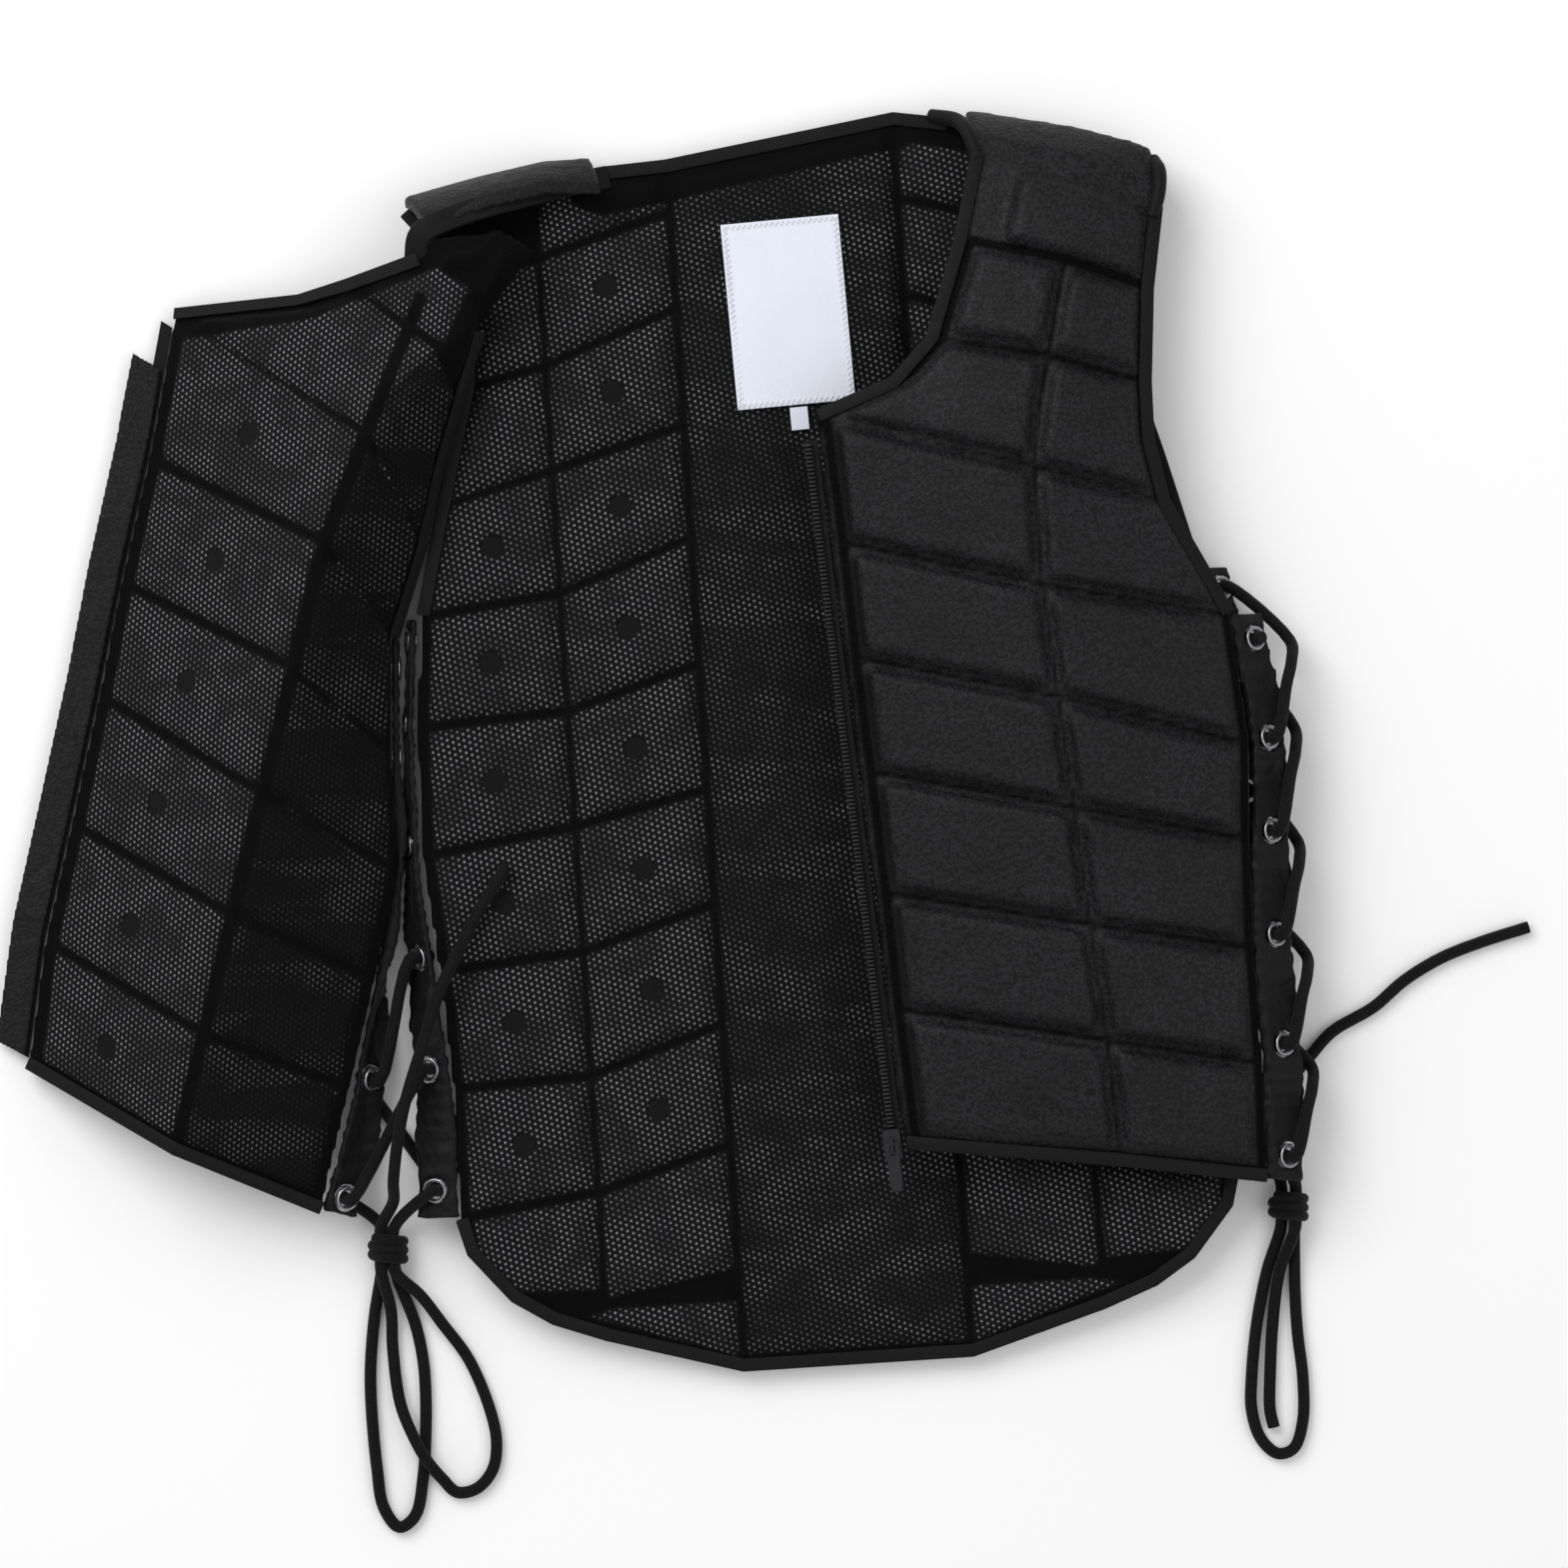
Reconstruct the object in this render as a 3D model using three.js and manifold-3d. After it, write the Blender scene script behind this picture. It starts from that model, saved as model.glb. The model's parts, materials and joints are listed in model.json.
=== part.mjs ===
// A child's padded riding vest, lying on its back and unzipped: the left front closed over the back, the right
// front swung open with its lining up, both sides laced through eyelets. Millimetres, +Z up, +Y to the neck.
import * as THREE from 'three';
import { mergeVertices } from 'three/addons/utils/BufferGeometryUtils.js';
import Module from 'manifold-3d';

const wasm = await Module();
wasm.setup();

// Driving dimensions.
const bodyLength = 500;
const spreadWidth = 525;
const backWidth = 340;
const foldRise = 50;
const backLean = 3.7;
const webThickness = 3;
const padOuter = 6.5;
const padInner = 5;
const padDome = 0.9;
const padBevel = 3;
const grooveWidth = 4;
const sideCurl = 11;
const edgeMargin = 5.5;
const placketMargin = 8;
const stripThickness = 3;
const bindingReach = 4;
const bindingWall = 1;
const clearance = 0.3;
const eyeletOuter = 5;
const eyeletInner = 3.85;
const eyeletHeight = 4.4;
const eyeletSides = 8;
const laceRadius = 2.4;
const laceSides = 8;
const knotWall = 1.6;
const knotLength = 13;
const knotSides = 12;
const coilWidth = 3.2;
const coilHeight = 2.4;
const coilOffset = 4;
const tapeThickness = 0.8;
const sliderLength = 12;
const sliderWall = 1.4;
const pullLength = 19;
const pullWidth = 5;
const pullThickness = 1.4;
const flapWidth = 15;
const flapThickness = 1.2;
const labelWidth = 47;
const labelHeight = 74;
const labelThickness = 0.6;
const tagWidth = 7;
const tagHeight = 9;
const labelLean = 5.4;

const satin = { color: 0x242428, roughness: 0.6, metalness: 0 };
const lining = { color: 0x1b1b1c, roughness: 0.9, metalness: 0 };
const tape = { color: 0x161616, roughness: 0.8, metalness: 0 };
const nickel = { color: 0x9a9a9e, roughness: 0.3, metalness: 1 };
const white = { color: 0xe4e6f2, roughness: 0.8, metalness: 0 };

const V = (x, y, z) => new THREE.Vector3(x, y, z);
const vest = new THREE.Group();

function add(name, geometry, look) {
  const mesh = new THREE.Mesh(geometry, new THREE.MeshStandardMaterial(look));
  mesh.name = name;
  vest.add(mesh);
  return mesh;
}

// A table point: thousandths of the spread width and of the body length, and millimetres per fold rise of 50.
function spread([x, y, z]) {
  return V((x / 1000) * spreadWidth, (y / 1000) * bodyLength, (z / 50) * foldRise);
}

// Points, then triangles, as one closed geometry with its shared corners merged.
function closedGeometry(points, faces) {
  const geometry = new THREE.BufferGeometry();
  geometry.setAttribute('position', new THREE.Float32BufferAttribute(points.flatMap((p) => p.toArray()), 3));
  geometry.setIndex(faces.flat());
  return mergeVertices(geometry, 1e-4);
}

// Corner normals of a grid of points, rows from the hem up and columns from left to right.
function gridNormals(grid) {
  return grid.map((row, r) => row.map((point, c) => {
    const right = row[Math.min(c + 1, row.length - 1)].clone().sub(row[Math.max(c - 1, 0)]);
    const up = grid[Math.min(r + 1, grid.length - 1)][c].clone().sub(grid[Math.max(r - 1, 0)][c]);
    return right.cross(up).normalize();
  }));
}

// A sheet over a grid. insets(r, c) gives a cell's pad margins [left, right, bottom, top], 0 where the pad runs on
// into the next cell, or null where there is no pad. up and down are the pad heights on the two faces.
function paddedSheet(grid, { thickness, up, down, insets, normals, domes }) {
  const points = [];
  const faces = [];
  const n = normals ?? gridNormals(grid);
  const quad = (a, b, c, d, flip) => {
    const at = points.length;
    points.push(a, b, c, d);
    faces.push(flip ? [at, at + 2, at + 1] : [at, at + 1, at + 2], flip ? [at, at + 3, at + 2] : [at, at + 2, at + 3]);
  };
  const lastRow = grid.length - 2;
  const lastColumn = grid[0].length - 2;
  for (let r = 0; r <= lastRow; r += 1) {
    for (let c = 0; c <= lastColumn; c += 1) {
      const corner = [grid[r][c], grid[r][c + 1], grid[r + 1][c + 1], grid[r + 1][c]];
      const normal = [n[r][c], n[r][c + 1], n[r + 1][c + 1], n[r + 1][c]];
      const blend = (four, u, v) => four[0].clone().multiplyScalar((1 - u) * (1 - v))
        .addScaledVector(four[1], u * (1 - v)).addScaledVector(four[2], u * v)
        .addScaledVector(four[3], (1 - u) * v);
      const at = (u, v, h) => blend(corner, u, v).addScaledVector(blend(normal, u, v).normalize(), h);
      const bottomEdge = corner[0].distanceTo(corner[1]);
      const topEdge = corner[3].distanceTo(corner[2]);
      const leftEdge = corner[0].distanceTo(corner[3]);
      const rightEdge = corner[1].distanceTo(corner[2]);
      const ring = ([l, rt, b, t], h) => [
        at(l / bottomEdge, b / leftEdge, h), at(1 - rt / bottomEdge, b / rightEdge, h),
        at(1 - rt / topEdge, 1 - t / rightEdge, h), at(l / topEdge, 1 - t / leftEdge, h),
      ];
      const inset = insets ? insets(r, c) : null;
      for (const side of [1, -1]) {
        const flip = side < 0;
        const web = (side * thickness) / 2;
        const edge = ring([0, 0, 0, 0], web);
        if (!inset) {
          quad(...edge, flip);
          continue;
        }
        const crown = inset.map((value) => (value > 0 ? value + padBevel : 0));
        const height = side > 0 ? up : -down;
        const foot = ring(inset, web);
        const shoulder = ring(crown, height);
        // Sides in the order bottom, right, top, left.
        [2, 1, 3, 0].forEach((which, i) => {
          const j = (i + 1) % 4;
          if (inset[which] > 0) {
            quad(edge[i], edge[j], foot[j], foot[i], flip);
            quad(foot[i], foot[j], shoulder[j], shoulder[i], flip);
          }
        });
        const dome = domes(side);
        const middle = at(0.5, 0.5, height + side * dome);
        for (let i = 0; i < 4; i += 1) {
          const at0 = points.length;
          points.push(shoulder[i], shoulder[(i + 1) % 4], middle);
          faces.push(flip ? [at0, at0 + 2, at0 + 1] : [at0, at0 + 1, at0 + 2]);
        }
      }
      const half = thickness / 2;
      const wall = (i, j) => {
        const u = [0, 1, 1, 0];
        const v = [0, 0, 1, 1];
        // A pad that runs out to the rim keeps its corners there, so the rim's wall stays one flat strip.
        quad(at(u[i], v[i], -half), at(u[j], v[j], -half), at(u[j], v[j], half), at(u[i], v[i], half), false);
      };
      if (r === 0) wall(0, 1);
      if (r === lastRow) wall(2, 3);
      if (c === 0) wall(3, 0);
      if (c === lastColumn) wall(1, 2);
    }
  }
  return closedGeometry(points, faces);
}

// A binding: a folded tape around a rim. Each station is the rim's point, the way into the cloth, and its normal.
function bindingGeometry(stations, thickness) {
  const inner = thickness / 2 + clearance;
  const outer = inner + bindingWall;
  const section = [[-clearance, inner], [bindingReach, inner], [bindingReach, outer],
    [-clearance - bindingWall, outer], [-clearance - bindingWall, -outer], [bindingReach, -outer],
    [bindingReach, -inner], [-clearance, -inner]];
  const rings = stations.map(({ point, into, normal }) => section.map(([d, h]) => point.clone()
    .addScaledVector(into, d).addScaledVector(normal, h)));
  return loft(rings);
}

// A closed solid through matching rings of points, its ends closed by the ring's own triangles.
function loft(rings) {
  const count = rings[0].length;
  const points = rings.flat();
  const faces = [];
  for (let s = 0; s < rings.length - 1; s += 1) {
    for (let i = 0; i < count; i += 1) {
      const a = s * count + i;
      const b = s * count + ((i + 1) % count);
      faces.push([a, b, b + count], [a, b + count, a + count]);
    }
  }
  const caps = capTriangles(rings[0]);
  const last = (rings.length - 1) * count;
  caps.forEach(([a, b, c]) => faces.push([a, c, b], [last + a, last + b, last + c]));
  const geometry = closedGeometry(points, faces);
  return volume(geometry) < 0 ? turnedOut(geometry) : geometry;
}

// Triangles of a ring of points, seen flat along its own best plane.
function capTriangles(ring) {
  const normal = V(0, 0, 0);
  ring.forEach((p, i) => normal.add(p.clone().cross(ring[(i + 1) % ring.length])));
  normal.normalize();
  const across = ring[1].clone().sub(ring[0]).cross(normal).normalize();
  const along = normal.clone().cross(across);
  const flat = ring.map((p) => new THREE.Vector2(p.dot(across), p.dot(along)));
  return THREE.ShapeUtils.triangulateShape(flat, []);
}

function volume(geometry) {
  const p = geometry.attributes.position;
  const index = geometry.index.array;
  let total = 0;
  for (let i = 0; i < index.length; i += 3) {
    const [a, b, c] = [0, 1, 2].map((k) => V().fromBufferAttribute(p, index[i + k]));
    total += a.dot(b.cross(c));
  }
  return total;
}

function turnedOut(geometry) {
  const index = Array.from(geometry.index.array);
  for (let i = 0; i < index.length; i += 3) [index[i + 1], index[i + 2]] = [index[i + 2], index[i + 1]];
  geometry.setIndex(index);
  return geometry;
}

// The largest piece of a solid after its neighbour, with the clearance already in it, is cut away.
function clearedOf(geometry, neighbour) {
  const pieces = toSolid(geometry).subtract(neighbour).decompose();
  return pieces.reduce((best, piece) => (piece.volume() > best.volume() ? piece : best));
}

function toSolid(geometry) {
  const bare = geometry.clone();
  bare.deleteAttribute('normal');
  bare.deleteAttribute('uv');
  const merged = mergeVertices(bare, 1e-4);
  return new wasm.Manifold(new wasm.Mesh({
    numProp: 3,
    vertProperties: new Float32Array(merged.attributes.position.array),
    triVerts: new Uint32Array(merged.index.array),
  }));
}

function fromSolid(solid) {
  const mesh = solid.getMesh();
  const geometry = new THREE.BufferGeometry();
  geometry.setAttribute('position', new THREE.BufferAttribute(new Float32Array(mesh.vertProperties), 3));
  geometry.setIndex(Array.from(mesh.triVerts));
  return geometry;
}

// A lace: an eight-sided tube along a smooth curve through its points.
function laceGeometry(points, steps) {
  const section = new THREE.Shape();
  for (let i = 0; i < laceSides; i += 1) {
    const turn = (2 * Math.PI * i) / laceSides;
    section[i ? 'lineTo' : 'moveTo'](laceRadius * Math.cos(turn), laceRadius * Math.sin(turn));
  }
  const extrudePath = new THREE.CatmullRomCurve3(points, false, 'centripetal');
  const tube = new THREE.ExtrudeGeometry(section, { steps, extrudePath, bevelEnabled: false });
  tube.deleteAttribute('normal');
  tube.deleteAttribute('uv');
  return mergeVertices(tube, 1e-4);
}

// Back panel: half a table, mirrored. Heights down from the neck line in thousandths of the body length at the
// centre pad's edge, the middle groove and the rim, and half widths of the two last in thousandths of backWidth.
const backRows = [
  { name: 'tail', pad: 934, middle: 902, rim: 886, rimX: 353 },
  { name: 'g9', pad: 857, middle: 875, rim: 866, rimX: 398, groove: true },
  { name: 'bend', pad: 806, middle: 832, rim: 827, rimX: 445 },
  { name: 'g8', pad: 755, middle: 786, rim: 798, rimX: 456, groove: true },
  { name: 'g7', pad: 659, middle: 693, rim: 696, rimX: 454, groove: true },
  { name: 'g6', pad: 563, middle: 594, rim: 602, rimX: 461, groove: true },
  { name: 'g5', pad: 471, middle: 494, rim: 510, rimX: 471, groove: true },
  { name: 'g4', pad: 371, middle: 402, rim: 408, rimX: 468, groove: true },
  { name: 'g3', pad: 270, middle: 308, rim: 320, rimX: 456, groove: true },
  { name: 'g2', pad: 180, middle: 210, rim: 233, rimX: 424, groove: true },
  { name: 'g1', pad: 87, middle: 126, rim: 141, rimX: 387, groove: true },
  { name: 'yoke', pad: 10, middle: 40, rim: 61, rimX: 372, groove: true },
  { name: 'shoulder', pad: -30, middle: -24, rim: -2, rimX: 447 },
];
const backPadX = 0.135 * backWidth;
const backMiddleX = 0.292 * backWidth;
const backOrigin = V(-0.028 * spreadWidth, 0.452 * bodyLength, 0);

function backPoint(x, down) {
  const curl = Math.max(0, (Math.abs(x) - backPadX) / (0.46 * backWidth - backPadX));
  const point = V(x, -(down / 1000) * bodyLength, padOuter + sideCurl * curl ** 1.4);
  return point.applyAxisAngle(V(0, 0, 1), THREE.MathUtils.degToRad(backLean)).add(backOrigin);
}

// The neck stands higher on the closed side, where the shoulder holds it.
const neckPull = 26;
const backGrid = backRows.map(({ name, pad, middle, rim, rimX }) => {
  const rimAt = (rimX / 1000) * backWidth;
  const pull = name === 'shoulder' ? neckPull : 0;
  return [backPoint(-rimAt, rim), backPoint(-backMiddleX, middle), backPoint(-backPadX, pad),
    backPoint(backPadX, pad - pull), backPoint(backMiddleX, middle - pull / 2), backPoint(rimAt, rim)];
});
const flatNormals = (grid) => grid.map((row) => row.map(() => V(0, 0, 1)));
const halfGroove = grooveWidth / 2;

function backInsets(r, c) {
  const last = backRows.length - 2;
  const centre = c === 2;
  const outside = c === 0 || c === 4;
  if (outside && (r === 0 || r === last)) return null;
  const below = r === 0 ? edgeMargin : (backRows[r].groove && !centre ? halfGroove : 0);
  const above = r === last ? edgeMargin : (backRows[r + 1].groove && !centre ? halfGroove : 0);
  const atRim = outside ? edgeMargin : halfGroove;
  const bottom = outside && r === 1 ? edgeMargin : below;
  return [c === 0 ? atRim : halfGroove, c === 4 ? atRim : halfGroove, bottom, above];
}

add('back_panel', paddedSheet(backGrid, {
  thickness: webThickness, up: padInner, down: padOuter, insets: backInsets,
  normals: flatNormals(backGrid), domes: (side) => (side > 0 ? padDome : 0),
}), lining);

// Left front, closed: columns at the zip, the middle groove and the side.
const closedRows = [
  { name: 'hem', at: [[63, -305, 32.5], [226, -318, 38], [338, -332, 30]] },
  { name: 'g7', at: [[50, -196, 33.5], [215, -221, 42], [334, -240, 32]], groove: true },
  { name: 'g6', at: [[40, -104, 34.4], [202, -130, 43], [327, -149, 33]], groove: true },
  { name: 'g5', at: [[29, -8, 35.3], [190, -38, 44], [324, -64, 33]], groove: true },
  { name: 'g4', at: [[18, 82, 36.2], [178, 49, 45], [323, 12, 33]], groove: true },
  { name: 'g3', at: [[8, 173, 37], [166, 137, 45], [309, 115, 33]], groove: true },
  { name: 'g2', at: [[-4, 272, 38], [160, 230, 44], [260, 203, 34]], groove: true },
  { name: 'bend', at: [[54, 298, 37], [164, 275, 43], [248, 252, 34]] },
  { name: 'g1', at: [[82, 332, 36], [171, 318, 41], [246, 297, 33]], groove: true },
  { name: 'g0', at: [[103, 410, 33], [183, 392, 36], [248, 371, 31]], groove: true },
  { name: 'top', at: [[117, 483, 27], [190, 466, 28], [256, 439, 26]] },
];
const openRows = [
  { name: 'hem', at: [[-602, -244, 5], [-484, -309, 38], [-377, -359, 20]] },
  { name: 'g7', at: [[-589, -144, 5], [-462, -215, 44], [-355, -262, 21]], groove: true },
  { name: 'g6', at: [[-569, -50, 5], [-443, -120, 47], [-336, -176, 21]], groove: true },
  { name: 'g5', at: [[-548, 52, 5], [-419, -24, 50], [-319, -90, 21]], groove: true },
  { name: 'g4', at: [[-531, 142, 5], [-393, 72, 56], [-324, 2, 21]], groove: true },
  { name: 'g3', at: [[-510, 241, 5], [-369, 169, 58], [-325, 95, 20]], groove: true },
  { name: 'g2', at: [[-490, 356, 6], [-337, 253, 56], [-302, 172, 22]], groove: true },
  { name: 'bend', at: [[-394, 364, 14], [-314, 288, 52], [-290, 232, 25]] },
  { name: 'g1', at: [[-355, 377, 22], [-284, 321, 48], [-276, 283, 30]], groove: true },
  { name: 'g0', at: [[-299, 398, 36], [-260, 371, 42], [-256, 340, 34]], groove: true },
  { name: 'top', at: [[-292, 411, 37], [-240, 418, 38], [-214, 402, 33]] },
];
const closedGrid = closedRows.map(({ at }) => at.map(spread));
const openGrid = openRows.map(({ at }) => at.map(spread));

// Pads of a front: the shoulder's is one across both columns, and stands further from the neck.
const neckMargin = 18;
function frontInsets(rows) {
  return (r, c) => {
    const last = rows.length - 2;
    const top = rows === closedRows && r === last;
    const bottom = r === 0 ? edgeMargin : (rows[r].groove ? halfGroove : 0);
    const above = r === last ? edgeMargin : (rows[r + 1].groove ? halfGroove : 0);
    const nearNeck = top ? neckMargin : placketMargin;
    const acrossMiddle = top ? 0 : halfGroove;
    return c === 0 ? [nearNeck, acrossMiddle, bottom, above] : [acrossMiddle, edgeMargin, bottom, above];
  };
}

const domes = () => padDome;
add('front_panel_left', paddedSheet(closedGrid, {
  thickness: webThickness, up: padOuter, down: padInner, insets: frontInsets(closedRows), domes,
}), satin);
add('front_panel_right', paddedSheet(openGrid, {
  thickness: webThickness, up: padInner, down: padOuter, insets: frontInsets(openRows), domes,
}), lining);

// Rims as stations for the bindings: the point, the way into the cloth along the grid, and the normal.
function rim(grid, normals, cells) {
  return cells.map(([r, c, toR, toC]) => {
    const point = grid[r][c].clone();
    const into = grid[toR][toC].clone().sub(point);
    const normal = normals[r][c].clone();
    return { point, into: into.normalize(), normal };
  });
}

// Sets each way inward square to the rim, mitred at its bends, so that the tape keeps its width.
function squared(stations) {
  return stations.map((station, i) => {
    const before = stations[Math.max(i - 1, 0)].point;
    const after = stations[Math.min(i + 1, stations.length - 1)].point;
    const along = after.clone().sub(before).normalize();
    const into = station.into.clone();
    into.addScaledVector(along, -into.dot(along)).normalize();
    return { point: station.point, into, normal: station.normal };
  });
}

// Moves the first or last station along the rim by a distance, so that a tape stops short of its neighbour.
function shortened(stations, first, last) {
  const moved = stations.map((s) => ({ ...s, point: s.point.clone() }));
  const pull = (a, b, distance) => {
    const way = b.point.clone().sub(a.point);
    a.point.addScaledVector(way.normalize(), distance);
  };
  pull(moved[0], moved[1], first);
  pull(moved[moved.length - 1], moved[moved.length - 2], last);
  return moved;
}

const closedNormals = gridNormals(closedGrid);
const openNormals = gridNormals(openGrid);
const backNormals = flatNormals(backGrid);
const column = (from, to, c, toC) => Array.from({ length: Math.abs(to - from) + 1 }, (_, i) => {
  const r = from + Math.sign(to - from) * i;
  return [r, c, r, toC];
});
const rowOf = (r, toR, columns) => columns.map((c) => [r, c, toR, c]);

// ease is how far the tape's two folds stand off the cloth, more where the cloth bends.
const tapeEnd = 1;
function binding(name, stations, ease, neighbour) {
  const placed = squared(shortened(stations, tapeEnd, tapeEnd));
  const geometry = bindingGeometry(placed, webThickness + 2 * ease);
  add(name, neighbour ? fromSolid(clearedOf(geometry, neighbour)) : geometry, tape);
}

const bentEase = 0.7;
const slightEase = 0.2;
const openClear = toSolid(paddedSheet(openGrid, {
  thickness: webThickness + 2 * clearance, up: padInner + clearance, down: padOuter + clearance,
  insets: frontInsets(openRows), domes,
}));

const closedTop = closedRows.length - 1;
const openTop = openRows.length - 2;
const backTop = backRows.length - 1;
const closedSide = closedRows.findIndex(({ name }) => name === 'g3');
const openSide = openRows.findIndex(({ name }) => name === 'g3');
const closedNeck = closedRows.findIndex(({ name }) => name === 'g2');
const openNeck = openRows.findIndex(({ name }) => name === 'g2');
const backSideTop = backRows.findIndex(({ name }) => name === 'g3');
const backSideEnd = backRows.findIndex(({ name }) => name === 'g8');

binding('neck_binding_left', rim(closedGrid, closedNormals, column(closedNeck, closedTop, 0, 1)), slightEase);
binding('neck_binding_right', rim(openGrid, openNormals, column(openNeck, openTop, 0, 1)), bentEase, openClear);
binding('armhole_binding_left', rim(closedGrid, closedNormals, column(closedSide, closedTop, 2, 1)), slightEase);
binding('armhole_binding_right', rim(openGrid, openNormals, column(openSide, openTop, 2, 1)), bentEase, openClear);
binding('armhole_binding_back_left', rim(backGrid, backNormals, column(backSideTop, backTop, 5, 4)), 0);
binding('armhole_binding_back_right', rim(backGrid, backNormals, column(backSideTop, backTop, 0, 1)), 0);
binding('hem_binding_left', rim(closedGrid, closedNormals, rowOf(0, 1, [0, 1, 2])), 0);
binding('hem_binding_right', rim(openGrid, openNormals, rowOf(0, 1, [0, 1, 2])), bentEase, openClear);
const tailStations = [
  ...rim(backGrid, backNormals, column(backSideEnd, 1, 0, 1)),
  ...rim(backGrid, backNormals, rowOf(0, 1, [0, 1, 2, 3, 4, 5])),
  ...rim(backGrid, backNormals, column(1, backSideEnd, 5, 4)),
];
binding('hem_binding_back', tailStations, 0);

// The tape round the back of the neck runs between the two shoulders.
const neckFromOpen = 0.5;
const neckToClosed = 0.42;
const alongNeck = (station, c, share) => {
  const next = rim(backGrid, backNormals, rowOf(backTop, backTop - 1, [c + 1]))[0];
  return { ...station, point: station.point.clone().lerp(next.point, share), into: station.into.clone() };
};
const neckRim = rim(backGrid, backNormals, rowOf(backTop, backTop - 1, [1, 2, 3]));
const backNeck = [alongNeck(neckRim[0], 1, neckFromOpen), neckRim[1], neckRim[2],
  alongNeck(neckRim[2], 3, neckToClosed)];
binding('neck_binding_back', backNeck, 0);

// A shoulder yoke: the strap folded over from the back's shoulder line to the front's, as a bent sheet.
const yokeBulge = 2.5;
const yokeSteps = 6;
function yokeGeometry(fronts, backs) {
  const rings = fronts.map((front, i) => {
    const back = backs[i];
    const rise = front.clone().sub(back).multiplyScalar(0.5);
    const middle = front.clone().add(back).multiplyScalar(0.5);
    const out = V(0, 1, 0).applyAxisAngle(V(0, 0, 1), THREE.MathUtils.degToRad(backLean));
    const arc = (reach) => Array.from({ length: yokeSteps + 1 }, (_, k) => {
      const turn = Math.PI * (0.5 - k / yokeSteps);
      const lift = rise.clone().normalize().multiplyScalar((rise.length() + reach) * Math.sin(turn));
      return middle.clone().add(lift).addScaledVector(out, (yokeBulge + reach) * Math.cos(turn) + bindingWall);
    });
    return [...arc(webThickness / 2), ...arc(-webThickness / 2).reverse()];
  });
  return loft(rings);
}

const shoulderRow = backGrid[backTop];
const aboveShoulder = (a, b, share) => shoulderRow[a].clone().lerp(shoulderRow[b], share);
const clearOfRim = (p) => p.clone().add(V(0, clearance + bindingWall, 0));
add('shoulder_yoke_left', yokeGeometry(
  closedGrid[closedTop].map(clearOfRim),
  [aboveShoulder(3, 4, 0.55), aboveShoulder(4, 5, 0.35), aboveShoulder(4, 5, 0.88)].map(clearOfRim),
), satin);

// The open side's strap is rolled over further, so its upper edge carries the neck tape towards the open front.
const rolledEdge = [[-168, 449, 22], [-208, 448, 28], [-245, 438, 33], [-296, 420, 37]].map(spread);
add('shoulder_yoke_right', yokeGeometry(rolledEdge, [
  aboveShoulder(1, 2, 0.4), aboveShoulder(1, 2, 0.1), aboveShoulder(0, 1, 0.6), aboveShoulder(0, 1, 0.05),
].map(clearOfRim)), satin);

// Side strips: gathered cloth outside the padded part, pierced for the eyelets. Rows run from the hem up.
const closedStripEdge = [[364, -336, 22], [361, -243, 23], [354, -150, 24], [351, -64, 24], [348, 12, 24],
  [333, 117, 24]].map(spread);
const openStripEdge = [[-352, -366, 12], [-334, -264, 9], [-333, -172, 5], [-321, -86, 5], [-322, 4, 5],
  [-322, 99, 4]].map(spread);
// How far a back strip reaches out from the pads, and how far it falls, at each row: on the open side it turns
// down into the gap between the two edges.
const closedBackReach = [[12.2, -8], [12.2, -8], [12.2, -8], [12.2, -8], [12.2, -8], [12.2, -8]];
const openBackReach = [[15, -3], [14, -5], [11, -10], [6, -13], [5, -13.5], [5, -13.5]];
const eyeletPlaces = [0.22, 1.18, 2.13, 3.1, 4.05, 4.8];
const seamShare = 0.56;
const seamGap = 0.5;
const bentSeamDrop = 3;
const eyeletLip = 0.4;

function stripPair(seam, edge, gap = seamGap, drop = 0) {
  return seam.map((point, i) => {
    const out = edge[i].clone().sub(point).normalize();
    const flat = V(out.x, out.y, 0).normalize();
    const standOff = gap + (stripThickness / 2 + eyeletLip) * Math.abs(out.z);
    return [point.clone().addScaledVector(flat, standOff).add(V(0, 0, -drop * Math.abs(out.z))), edge[i]];
  });
}

// A place on a strip and its normal, by rows up from the hem and by share of the width.
function onStrip(pair, place, share) {
  const r = Math.min(Math.floor(place), pair.length - 2);
  const t = place - r;
  const inner = pair[r][0].clone().lerp(pair[r + 1][0], t);
  const outer = pair[r][1].clone().lerp(pair[r + 1][1], t);
  const along = pair[r + 1][0].clone().sub(pair[r][0]);
  const across = outer.clone().sub(inner);
  const normal = across.clone().cross(along).normalize();
  if (normal.z < 0) normal.negate();
  return { point: inner.lerp(outer, share), normal };
}

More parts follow.
